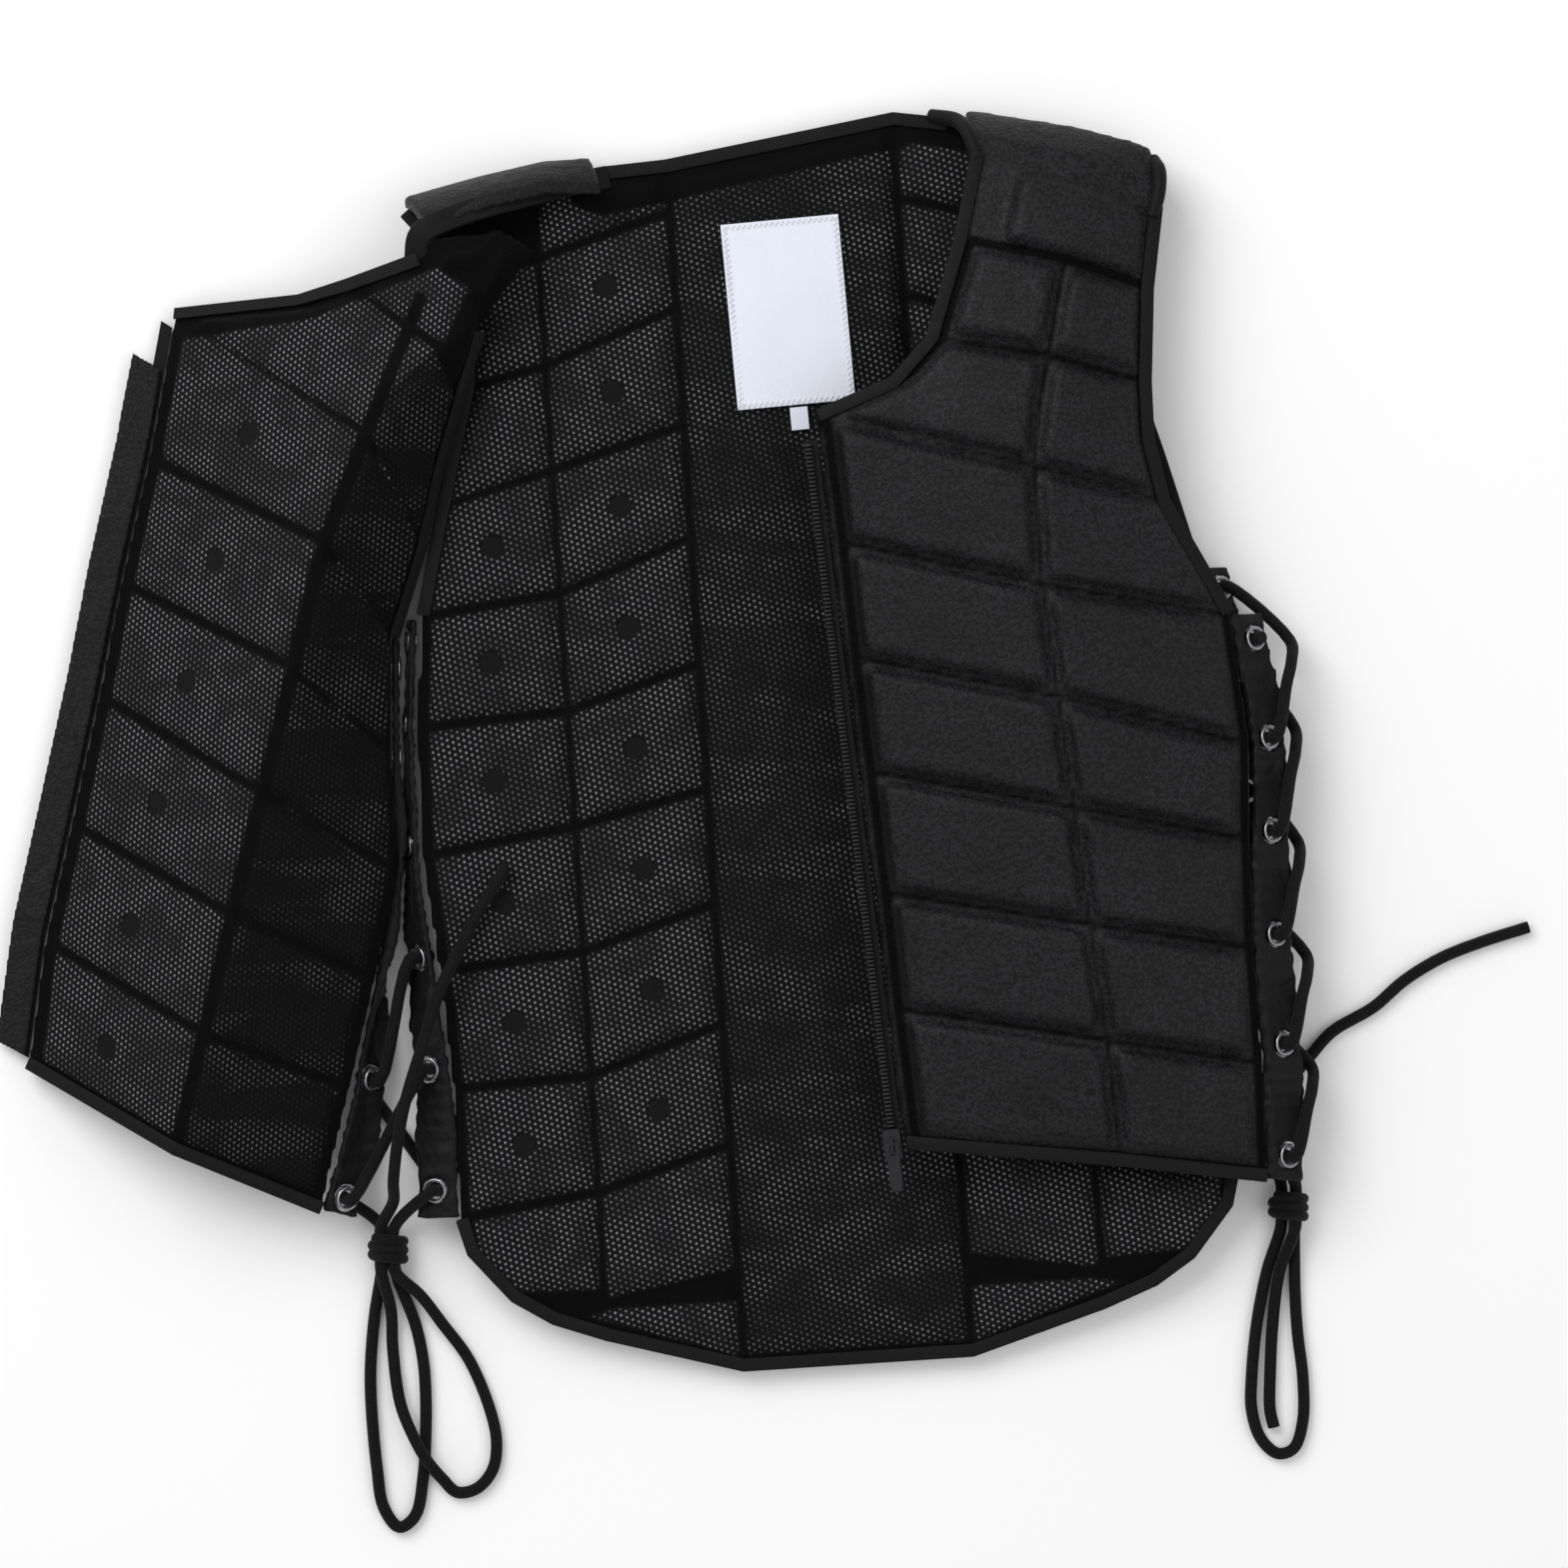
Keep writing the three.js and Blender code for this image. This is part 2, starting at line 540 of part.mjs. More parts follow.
function addStrip(name, pair, look, shift, neighbour) {
  const leftToRight = pair[0][0].x < pair[0][1].x;
  const grid = pair.map((row) => (leftToRight ? row : [row[1], row[0]]));
  let solid = toSolid(paddedSheet(grid, { thickness: stripThickness, up: 0, down: 0, insets: null }));
  eyeletPlaces.forEach((place, i) => {
    const seat = onStrip(pair, place + shift, seamShare);
    const turn = new THREE.Quaternion().setFromUnitVectors(V(0, 1, 0), seat.normal);
    const hole = new THREE.CylinderGeometry(eyeletOuter + clearance, eyeletOuter + clearance, 4 * stripThickness,
      eyeletSides);
    hole.applyQuaternion(turn).translate(...seat.point.toArray());
    solid = solid.subtract(toSolid(hole));
    const ring = new THREE.LatheGeometry([[eyeletInner, -1], [eyeletOuter, -1], [eyeletOuter, 1], [eyeletInner, 1],
      [eyeletInner, -1]].map(([r, h]) => new THREE.Vector2(r, (h * eyeletHeight) / 2)), eyeletSides);
    ring.deleteAttribute('normal');
    ring.deleteAttribute('uv');
    const eyelet = add(`eyelet_${name}_${i + 1}`, mergeVertices(ring, 1e-4), nickel);
    eyelet.position.copy(seat.point);
    eyelet.quaternion.copy(turn);
  });
  add(`side_strip_${name}`, fromSolid(neighbour ? clearedOf(fromSolid(solid), neighbour) : solid), look);
}

const closedSeam = closedGrid.slice(0, closedSide + 1).map((row) => row[2]);
const openSeam = openGrid.slice(0, openSide + 1).map((row) => row[2]);
const backSeam = (c) => backGrid.slice(backSideEnd, backSideTop + 1).map((row) => row[c]);
const reached = (seam, reach, side) => seam.map((p, i) => p.clone().add(
  V(side * reach[i][0], 0, reach[i][1]).applyAxisAngle(V(0, 0, 1), THREE.MathUtils.degToRad(backLean)),
));
const strips = {
  front_left: stripPair(closedSeam, closedStripEdge),
  front_right: stripPair(openSeam, openStripEdge, seamGap, bentSeamDrop),
  back_left: stripPair(backSeam(5), reached(backSeam(5), closedBackReach, 1)),
  back_right: stripPair(backSeam(0), reached(backSeam(0), openBackReach, -1)),
};
addStrip('front_left', strips.front_left, satin, 0);
addStrip('front_right', strips.front_right, satin, -0.08, openClear);
addStrip('back_left', strips.back_left, satin, 0);
addStrip('back_right', strips.back_right, satin, 0);

// The zip's left half, along the closed front's edge. Its own frame: x across towards the pads, y up, z outwards.
const zipFrom = closedGrid[0][0];
const zipTo = closedGrid[closedNeck][0];
const zipAxis = zipTo.clone().sub(zipFrom).normalize();
const zipNormal = closedNormals[3][0].clone();
zipNormal.addScaledVector(zipAxis, -zipNormal.dot(zipAxis)).normalize();
const zipFrame = new THREE.Group();
zipFrame.position.copy(zipFrom);
zipFrame.quaternion.setFromRotationMatrix(new THREE.Matrix4().makeBasis(
  zipAxis.clone().cross(zipNormal), zipAxis, zipNormal,
));
vest.add(zipFrame);
const zipBelowHem = 7;
const zipTopGap = 10;
const zipLength = zipFrom.distanceTo(zipTo) + zipBelowHem - zipTopGap;

function addToZip(name, geometry, look) {
  const mesh = new THREE.Mesh(geometry, new THREE.MeshStandardMaterial(look));
  mesh.name = name;
  zipFrame.add(mesh);
  return mesh;
}

const tapeInner = 0.4;
const tapeOuter = coilOffset + coilWidth / 2;
const tapeGeometry = new THREE.BoxGeometry(tapeOuter - tapeInner, zipLength, tapeThickness);
tapeGeometry.translate(-(tapeOuter + tapeInner) / 2, zipLength / 2 - zipBelowHem, 0);
addToZip('zipper_tape_left', tapeGeometry, tape);
const coilBase = tapeThickness / 2 + clearance;
const coilShape = new THREE.Shape([[-1, 0], [1, 0], [1, 0.6], [0.5, 1], [-0.5, 1], [-1, 0.6]]
  .map(([x, h]) => new THREE.Vector2(-coilOffset + (x * coilWidth) / 2, coilBase + h * coilHeight)));

// An extruded profile, drawn across (x) and outwards (y), laid along the zip with its upper end at a height.
function alongZip(shape, depth, top) {
  const geometry = new THREE.ExtrudeGeometry(shape, { depth, bevelEnabled: false });
  geometry.rotateX(Math.PI / 2).translate(0, top, 0);
  geometry.deleteAttribute('normal');
  geometry.deleteAttribute('uv');
  return mergeVertices(geometry, 1e-4);
}

addToZip('zipper_coil_left', alongZip(coilShape, zipLength, zipLength - zipBelowHem), tape);

// The slider: a C round the coil, open towards the pads where the tape runs out, with an arch for the pull.
const slack = 0.4;
const cavityLeft = -tapeOuter - slack;
const cavityRight = -coilOffset + coilWidth / 2 + slack;
const cavityTop = coilBase + coilHeight + slack;
const slotHalf = tapeThickness / 2 + slack;
const sliderRight = cavityRight + sliderWall;
const sliderTop = cavityTop + sliderWall;
const sliderShape = new THREE.Shape([
  [cavityLeft - sliderWall, -slotHalf - sliderWall], [sliderRight, -slotHalf - sliderWall],
  [sliderRight, -slotHalf], [cavityLeft, -slotHalf], [cavityLeft, cavityTop], [cavityRight, cavityTop],
  [cavityRight, slotHalf], [sliderRight, slotHalf], [sliderRight, sliderTop],
  [cavityLeft - sliderWall, sliderTop],
].map(([x, h]) => new THREE.Vector2(x, h)));
const sliderCentre = 1;
const archWidth = 1.2;
const archRise = 3.2;
const archBar = 1;
const archHalf = 3;
const sunk = 0.2;
const archProfile = new THREE.Shape([
  [-archHalf, -sunk], [-archHalf + archBar, -sunk], [-archHalf + archBar, archRise - archBar],
  [archHalf - archBar, archRise - archBar], [archHalf - archBar, -sunk], [archHalf, -sunk],
  [archHalf, archRise], [-archHalf, archRise],
].map(([x, h]) => new THREE.Vector2(x, h)));
const arch = new THREE.ExtrudeGeometry(archProfile, { depth: archWidth, bevelEnabled: false });
arch.rotateX(Math.PI / 2).rotateZ(Math.PI / 2);
arch.translate(-coilOffset - archWidth / 2, sliderCentre, sliderTop);
const sliderBody = toSolid(alongZip(sliderShape, sliderLength, sliderCentre + sliderLength / 2));
addToZip('zipper_slider', fromSolid(sliderBody.add(toSolid(arch))), nickel);

// The pull: a flat tab lying down the zip, hung by its end bar inside the slider's arch.
const pullLift = sliderTop + clearance;
const hangBar = 1.2;
const windowHalf = archWidth / 2 + 0.5;
const windowLength = archHalf + archBar + 0.8;
const hangY = sliderCentre + archBar / 2;
const pullProfile = new THREE.Shape([[-pullWidth / 2, hangBar / 2], [-pullWidth / 2, -pullLength + pullWidth / 2],
  [-pullWidth / 4, -pullLength], [pullWidth / 4, -pullLength], [pullWidth / 2, -pullLength + pullWidth / 2],
  [pullWidth / 2, hangBar / 2]].map(([x, y]) => new THREE.Vector2(x, y)));
pullProfile.holes.push(new THREE.Path([[-windowHalf, -hangBar / 2], [windowHalf, -hangBar / 2],
  [windowHalf, -windowLength], [-windowHalf, -windowLength]].map(([x, y]) => new THREE.Vector2(x, y))));
const pullGeometry = new THREE.ExtrudeGeometry(pullProfile, { depth: pullThickness, bevelEnabled: false });
pullGeometry.deleteAttribute('normal');
pullGeometry.deleteAttribute('uv');
const pull = addToZip('zipper_pull', mergeVertices(pullGeometry, 1e-4), nickel);
pull.position.set(-coilOffset, hangY, pullLift);

// The open front's edge: the zip's right half under a cloth flap, the outer side of both facing the floor.
const openEdge = openGrid.slice(0, openNeck + 1).map((row) => row[0]);
const openOut = openGrid.slice(0, openNeck + 1).map((row) => {
  const out = row[0].clone().sub(row[1]);
  out.z = 0;
  return out.normalize();
});
function edgeSheet(from, to, drop, rows) {
  const grid = rows.map((place) => {
    const r = Math.min(Math.floor(place), openEdge.length - 2);
    const t = place - r;
    const point = openEdge[r].clone().lerp(openEdge[r + 1], t);
    const out = openOut[r].clone().lerp(openOut[r + 1], t).normalize();
    return [to, from].map((reach) => point.clone().addScaledVector(out, reach).add(V(0, 0, drop)));
  });
  return grid;
}
const bareSheet = (grid, thickness) => paddedSheet(grid, { thickness, up: 0, down: 0, insets: null });
const flapRows = [0.05, 1, 2, 3, 4, 5, 5.6];
const zipRows = [0.05, 1, 2, 3, 4, 5, 5.9];
const flapLift = 0.7;
const rightTapeDrop = -webThickness / 2;
const flapInner = 1.4;
add('placket_flap', bareSheet(edgeSheet(flapInner, flapWidth, flapLift, flapRows), flapThickness), lining);
add('zipper_tape_right', bareSheet(edgeSheet(tapeInner, tapeOuter, rightTapeDrop, zipRows), tapeThickness), tape);
const rightCoilDrop = rightTapeDrop - coilBase - coilHeight / 2;
add('zipper_coil_right', bareSheet(edgeSheet(tapeOuter - coilWidth, tapeOuter, rightCoilDrop, zipRows),
  coilHeight), tape);

// Labels inside the neck, on the back's centre pad.
const padTop = padOuter + padInner + padDome;
function addLabel(name, width, height, x, down, lift) {
  const geometry = new THREE.BoxGeometry(width, height, labelThickness);
  const label = add(name, geometry, white);
  label.position.copy(backPoint(x, down)).setZ(lift + labelThickness / 2);
  label.rotation.z = THREE.MathUtils.degToRad(labelLean);
}
addLabel('care_label', labelWidth, labelHeight, -1.1, 96, padTop + clearance);
addLabel('size_tag', tagWidth, tagHeight, 0.8, 181, padTop + clearance);

// Laces: each strand threads its side's eyelets from one edge to the other, over and under in turn.
const laceRise = eyeletHeight / 2 + laceRadius + 0.8;
const laceDip = 9;
// Out from the strip's edge and up, where a strand passes round the front strip or round the back one.
const roundFront = [[3.5, 4.4], [6.8, -1], [7, -9.6]];
const roundBack = [[5.2, -6.2]];
const floorLift = laceRadius + 0.4;

function hole(strand, pairs, shifts, i) {
  const which = (i + strand) % 2;
  const place = eyeletPlaces[eyeletPlaces.length - 1 - i] + shifts[which];
  const seat = onStrip(pairs[which], place, seamShare);
  const edge = onStrip(pairs[which], place, 1).point;
  return { ...seat, edge, which };
}

function crossing(side, from, to, over) {
  const middle = from.edge.clone().add(to.edge).multiplyScalar(0.5);
  if (side === 'closed') {
    // Round the front strip's edge when it runs over, and round the back strip's when it runs under.
    const turned = [from, to].find(({ which }) => which === (over ? 0 : 1));
    const front = from.which === 0 ? roundFront : roundFront.slice().reverse();
    const steps = over ? front : roundBack;
    return steps.map(([out, up]) => turned.edge.clone().setY(middle.y).add(V(out, 0, up)));
  }
  return over ? [] : [middle.setZ(Math.max(middle.z - laceDip, floorLift + 0.5))];
}

// On the open side the upper eyelets are drawn edge to edge inside the gap, so the strand is followed from there down.
function strandRoute(side, pairs, shifts, strand, first) {
  const route = [];
  for (let i = first; i < eyeletPlaces.length; i += 1) {
    const seat = hole(strand, pairs, shifts, i);
    const leavesOver = (i + strand) % 2 === 1;
    const way = leavesOver ? 1 : -1;
    route.push(seat.point.clone().addScaledVector(seat.normal, -way * laceRise), seat.point.clone(),
      seat.point.clone().addScaledVector(seat.normal, way * laceRise));
    if (i < eyeletPlaces.length - 1) {
      route.push(...crossing(side, seat, hole(strand, pairs, shifts, i + 1), leavesOver));
    }
  }
  return route;
}

// Knots: a band drawn round the lace's ends. Inside it the cords lie side by side in two layers.
const berth = laceRadius + 0.25;
const knotInner = berth * Math.SQRT2 + laceRadius + 2 * clearance;
const knotOuter = knotInner + knotWall;
function addKnot(name, centre) {
  const half = knotLength / 2;
  const ring = new THREE.LatheGeometry([[knotInner, -half], [knotOuter, -half], [knotOuter, half],
    [knotInner, half], [knotInner, -half]].map(([r, h]) => new THREE.Vector2(r, h)), knotSides);
  ring.deleteAttribute('normal');
  ring.deleteAttribute('uv');
  const band = add(name, mergeVertices(ring, 1e-4), satin);
  band.position.copy(centre);
}
const knotAt = ([x, y]) => spread([x, y, 0]).setZ(knotOuter);
const openKnot = knotAt([-328, -390]);
const closedKnot = knotAt([356, -356]);
const inKnot = (centre, side, layer, way) => centre.clone().add(V(side * berth, way, layer * berth));
const knotExit = knotLength / 2 + 2;
const through = (centre, side, layer) => [knotExit, 0, -knotExit].map((way) => inKnot(centre, side, layer, way));
const intoKnot = (centre, side, layer) => [-knotExit, -1].map((way) => inKnot(centre, side, layer, way));
const laid = (points) => points.map(([x, y, z]) => spread([x, y, 0]).setZ(z ?? floorLift));

const loopFirst = [[-339, -446], [-342, -489], [-341, -523], [-337, -567], [-332, -598], [-320, -614], [-308, -605],
  [-302, -575], [-300, -541], [-300, -506], [-302, -480], [-308, -451]];
const loopSecond = [[-326, -440, 6], [-325, -471, 3.2], [-319, -515, 4.5], [-307, -544, 8.3], [-298, -560, 8.3],
  [-287, -575, 4.5], [-276, -586], [-261, -583], [-249, -568], [-246, -546], [-251, -520], [-267, -480, 2.8],
  [-287, -451, 4.5], [-303, -428, 8.5]];
const tailOpen = [[-323, -352, 17], [-322, -335, 25], [-318, -302, 31], [-312, -270, 32], [-298, -222, 32],
  [-286, -182, 31], [-272, -151, 27], [-257, -119, 25], [-245, -99, 24], [-236, -84, 23.5]];
const loopClosed = [[341, -408], [333, -451], [329, -494], [329, -520], [336, -543], [349, -555], [361, -551],
  [368, -529], [368, -494], [364, -459], [362, -425]];
const tailClosed = [[350, -408, 6], [345, -451, 3], [343, -494], [343, -520], [346, -534]];
const tailFree = [[357, -262, 9], [364, -248, 7], [372, -239, 4], [390, -218], [422, -198], [445, -177], [473, -159],
  [504, -146], [540, -134]];

const openPairs = [strips.front_right, strips.back_right];
const openShifts = [-0.08, 0];
const closedPairs = [strips.front_left, strips.back_left];
const closedShifts = [0, 0];
const openFirst = 3;
const openSteps = 56;
const closedSteps = 68;
const openTailSteps = 26;
const freeTailSteps = 18;

addKnot('lace_knot_right', openKnot);
add('lace_right_a', laceGeometry([
  ...strandRoute('open', openPairs, openShifts, 0, openFirst), ...through(openKnot, 1, 1),
  ...laid(loopSecond).reverse(), ...intoKnot(openKnot, -1, 1),
], openSteps), satin);
add('lace_right_b', laceGeometry([
  ...strandRoute('open', openPairs, openShifts, 1, openFirst + 1), ...through(openKnot, -1, -1),
  ...laid(loopFirst), ...intoKnot(openKnot, 1, -1),
], openSteps), satin);
add('lace_tail_right', laceGeometry([
  inKnot(openKnot, -1, 1, 1), inKnot(openKnot, -1, 1, knotExit), ...laid(tailOpen),
], openTailSteps), satin);
addKnot('lace_knot_left', closedKnot);
add('lace_left_a', laceGeometry([
  ...strandRoute('closed', closedPairs, closedShifts, 0, 0), ...through(closedKnot, -1, -1),
  ...laid(loopClosed), ...intoKnot(closedKnot, 1, -1),
], closedSteps), satin);
add('lace_left_b', laceGeometry([
  ...strandRoute('closed', closedPairs, closedShifts, 1, 0), ...through(closedKnot, 1, 1), ...laid(tailClosed),
], closedSteps), satin);
add('lace_tail_left', laceGeometry(laid(tailFree), freeTailSteps), satin);

// The origin is the middle of the footprint without the laces and their knots, on the surface below.
vest.updateMatrixWorld(true);
const footprint = new THREE.Box3();
vest.traverse((mesh) => {
  if (mesh.isMesh && !mesh.name.startsWith('lace')) footprint.expandByObject(mesh, true);
});
const middle = footprint.getCenter(V());
vest.position.set(-middle.x, -middle.y, -footprint.min.z);

export default vest;
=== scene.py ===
import json
import math
import bmesh
import bpy
import numpy as np
from mathutils import Matrix, Vector


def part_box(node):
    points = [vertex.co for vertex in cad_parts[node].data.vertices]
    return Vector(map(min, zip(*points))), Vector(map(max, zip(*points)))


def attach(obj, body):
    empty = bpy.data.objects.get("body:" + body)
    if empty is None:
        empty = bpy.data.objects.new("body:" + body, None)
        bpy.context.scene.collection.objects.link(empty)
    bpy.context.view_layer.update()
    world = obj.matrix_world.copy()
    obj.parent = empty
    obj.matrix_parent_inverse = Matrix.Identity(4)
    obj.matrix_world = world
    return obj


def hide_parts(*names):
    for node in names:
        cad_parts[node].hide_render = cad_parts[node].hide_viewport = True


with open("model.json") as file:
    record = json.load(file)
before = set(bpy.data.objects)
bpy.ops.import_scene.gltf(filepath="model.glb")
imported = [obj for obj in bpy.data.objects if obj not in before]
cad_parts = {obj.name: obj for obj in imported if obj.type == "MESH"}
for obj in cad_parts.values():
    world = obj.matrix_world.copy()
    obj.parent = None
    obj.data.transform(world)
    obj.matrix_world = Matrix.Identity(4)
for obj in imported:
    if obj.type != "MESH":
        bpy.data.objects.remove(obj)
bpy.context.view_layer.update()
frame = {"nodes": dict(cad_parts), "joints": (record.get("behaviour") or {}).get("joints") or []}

# The view is straight down on the vest, which lies on its back on the floor. The camera hangs two and a
# half metres up with a long lens, so that nothing leans.
bpy.ops.object.select_all(action="DESELECT")
bpy.ops.object.camera_add(location=(0.0543, -0.0168, 2.5), rotation=(0, 0, 0))
camera = bpy.context.object
camera.data.sensor_width = 36
camera.data.lens = 143.4
bpy.context.scene.camera = camera

# The laces are round knitted cord, black, about 5 mm thick. On each side two strands cross between the
# eyelets and are tied in a bow below the lowest pair. The loops and tails are listed points, in
# thousandths of the spread width and of the body length, with heights in mm.
mm = 0.001
spread_width = 525 * mm
body_length = 500 * mm
origin_shift = Vector((0.068534, -0.006951, 0))
lace_radius = 2.4 * mm
eyelet_height = 4.4 * mm
lace_gap = 0.8 * mm
lace_rise = eyelet_height / 2 + lace_radius + lace_gap
floor_lift = 2.8 * mm
floor_gap = 0.5 * mm
lace_dip = 9 * mm
strip_width = {"front_left": 14.6, "back_left": 13.3, "front_right": 13.2, "back_right": 14.0}
edge_share = 0.44
berth = 2.65 * mm
knot_exit = 8.5 * mm
knot_height = 8.35 * mm
# Round a closed strip's edge: mm outward, mm up, and the share of the way along to the next eyelet.
round_front = [(4.8, -9.6, 0.36), (4.8, -1, 0.5), (2.4, 4.4, 0.66)]
round_back = [(3.8, -6.2, 0.5)]
loop_first = [(-339, -446), (-342, -489), (-341, -523), (-337, -567), (-332, -598), (-320, -614),
              (-308, -605), (-302, -575), (-300, -541), (-300, -506), (-302, -480), (-308, -451)]
loop_second = [(-326, -440, 6), (-325, -471, 3.2), (-319, -515, 4.5), (-307, -544, 8.3), (-298, -560, 8.3),
               (-287, -575, 4.5), (-276, -586), (-261, -583), (-249, -568), (-246, -546), (-251, -520),
               (-267, -480, 2.8), (-287, -451, 4.5), (-303, -428, 8.5)]
tail_open = [(-323, -352, 17), (-322, -335, 25), (-318, -302, 31), (-312, -270, 32), (-298, -222, 32),
             (-286, -182, 31), (-272, -151, 27), (-257, -119, 25), (-245, -99, 24), (-236, -84, 23.5)]
loop_closed = [(341, -408), (333, -451), (329, -494), (329, -520), (336, -543), (349, -555), (361, -551),
               (368, -529), (368, -494), (364, -459), (362, -425)]
tail_closed = [(350, -408, 6), (345, -451, 3), (343, -494), (343, -520), (346, -534)]
tail_free = [(357, -262, 9), (364, -248, 7), (372, -239, 4), (390, -218), (422, -198), (445, -177),
             (473, -159), (504, -146), (540, -134)]


def spread(x, y, z=floor_lift / mm):
    return Vector((x / 1000 * spread_width, y / 1000 * body_length, z * mm)) + origin_shift


def laid(points):
    return [spread(*p) for p in points]


def eyelet_seat(name):
    corners = np.unique(np.round([v.co for v in frame["nodes"][name].data.vertices], 6), axis=0)
    centre = corners.mean(axis=0)
    axis = Vector(np.linalg.svd(corners - centre)[2][2])
    return Vector(centre), axis if axis.z > 0 else -axis


def strip_edge(side, number):
    seat, axis = eyelet_seat(f"eyelet_{side}_{number}")
    other = eyelet_seat(f"eyelet_{side}_{number + 1 if number < 6 else number - 1}")[0]
    across = axis.cross(other - seat).normalized()
    outward = across if (across.x - across.z > 0) != (side == "back_right") else -across
    return seat + outward * edge_share * strip_width[side] * mm


def strand(sides, first_side, first):
    route = []
    for i in range(first, 6):
        which = (i + first_side) % 2
        number = 6 - i
        seat, axis = eyelet_seat(f"eyelet_{sides[which]}_{number}")
        way = axis * lace_rise * (1 if which else -1)
        route += [seat - way, seat, seat + way]
        if number == 1:
            continue
        here = strip_edge(sides[which], number)
        there = strip_edge(sides[1 - which], number - 1)
        middle = (here + there) / 2
        if sides[0] == "front_left":
            for out, up, share in (round_front if which else round_back):
                level = here.y + (there.y - here.y) * share
                route.append(Vector((there.x + out * mm, level, there.z + up * mm)))
        elif not which:
            route.append(Vector((middle.x, middle.y, max(middle.z - lace_dip, floor_lift + floor_gap))))
    return route


def in_knot(centre, side, layer, way):
    return centre + Vector((side * berth, way, layer * berth))


def smooth_route(points, steps=6):
    ends = [points[0] * 2 - points[1], *points, points[-1] * 2 - points[-2]]
    line = []
    for a, b, c, d in zip(ends, ends[1:], ends[2:], ends[3:]):
        t1 = (b - a).length ** 0.5
        t2 = t1 + (c - b).length ** 0.5
        t3 = t2 + (d - c).length ** 0.5
        for k in range(steps):
            t = t1 + (t2 - t1) * k / steps
            p, q, r = a.lerp(b, t / t1), b.lerp(c, (t - t1) / (t2 - t1)), c.lerp(d, (t - t2) / (t3 - t2))
            early = p.lerp(q, t / t2)
            late = q.lerp(r, (t - t1) / (t3 - t1))
            line.append(early.lerp(late, (t - t1) / (t2 - t1)))
    return line + [points[-1]]


def cord_curve(name, line, radius):
    data = bpy.data.curves.new(name, "CURVE")
    data.dimensions = "3D"
    data.bevel_depth = radius
    data.bevel_resolution = 4
    data.use_fill_caps = True
    spline = data.splines.new("POLY")
    spline.points.add(len(line) - 1)
    spline.points.foreach_set("co", [value for p in line for value in (*p, 1)])
    spline.use_smooth = True
    piece = bpy.data.objects.new(name, data)
    bpy.context.collection.objects.link(piece)
    return piece


def new_material(name, colour, roughness, metallic=0.0, sheen=0.0, shine=0.5):
    material = bpy.data.materials.new(name)
    material.use_nodes = True
    surface = material.node_tree.nodes["Principled BSDF"]
    surface.inputs["Base Color"].default_value = (*colour, 1)
    surface.inputs["Roughness"].default_value = roughness
    surface.inputs["Metallic"].default_value = metallic
    surface.inputs["Sheen Weight"].default_value = sheen
    surface.inputs["Sheen Roughness"].default_value = 0.4
    surface.inputs["Specular IOR Level"].default_value = shine
    return material, material.node_tree, surface


def wire(tree, kind, settings=(), **sockets):
    made = tree.nodes.new(kind)
    for name, value in dict(settings).items():
        setattr(made, name, value)
    for name, value in sockets.items():
        numbered = name[0] == "i" and name[1:].isdigit()
        socket = made.inputs[int(name[1:]) if numbered else name]
        if isinstance(value, bpy.types.NodeSocket):
            tree.links.new(value, socket)
        else:
            socket.default_value = value
    return made


def object_place(tree, scale=(1, 1, 1), turn=0.0):
    place = wire(tree, "ShaderNodeTexCoord").outputs["Object"]
    return wire(tree, "ShaderNodeMapping", Vector=place, Scale=scale, Rotation=(0, 0, turn)).outputs[0]


def noise(tree, place, scale, detail=3.0, distortion=0.0):
    return wire(tree, "ShaderNodeTexNoise", Vector=place, Scale=scale, Detail=detail,
                Distortion=distortion).outputs["Fac"]


def ramp(tree, value, low, high, out_low=0.0, out_high=1.0):
    return wire(tree, "ShaderNodeMapRange", {"interpolation_type": "SMOOTHSTEP"}, i0=value, i1=low, i2=high,
                i3=out_low, i4=out_high).outputs[0]


def maths(tree, operation, a, b=0.0):
    return wire(tree, "ShaderNodeMath", {"operation": operation}, i0=a, i1=b).outputs[0]


def blend_colour(tree, share, a, b):
    mix = tree.nodes.new("ShaderNodeMix")
    mix.data_type = "RGBA"
    for index, value in ((0, share), (6, a), (7, b)):
        if isinstance(value, bpy.types.NodeSocket):
            tree.links.new(value, mix.inputs[index])
        else:
            mix.inputs[index].default_value = value if index == 0 else (*value, 1)
    return mix.outputs[2]


def bump(tree, height, distance, strength=1.0, over=None):
    made = wire(tree, "ShaderNodeBump", Height=height, Distance=distance, Strength=strength)
    if over is not None:
        tree.links.new(over, made.inputs["Normal"])
    return made.outputs[0]


lace_cloth, tree, surface = new_material("lace_knit", (0.004, 0.004, 0.0045), 0.75, sheen=0.05, shine=0.12)
knit = wire(tree, "ShaderNodeTexVoronoi", Vector=object_place(tree), Scale=1100.0).outputs["Distance"]
fuzz = noise(tree, object_place(tree), 2600.0)
knit_tone = blend_colour(tree, knit, (0.0070, 0.0070, 0.0078), (0.0018, 0.0018, 0.0022))
tree.links.new(knit_tone, surface.inputs["Base Color"])
tree.links.new(bump(tree, maths(tree, "ADD", knit, fuzz), 0.35 * mm, 0.9), surface.inputs["Normal"])

open_knot = spread(-328, -390)
open_knot.z = knot_height
closed_knot = spread(356, -356)
closed_knot.z = knot_height
open_sides = ("front_right", "back_right")
closed_sides = ("front_left", "back_left")
first_seen_a = 3
first_seen_b = 4


def through(centre, side, layer):
    return [in_knot(centre, side, layer, way) for way in (knot_exit, 0, -knot_exit)]


def into(centre, side, layer):
    return [in_knot(centre, side, layer, way) for way in (-knot_exit, -mm)]


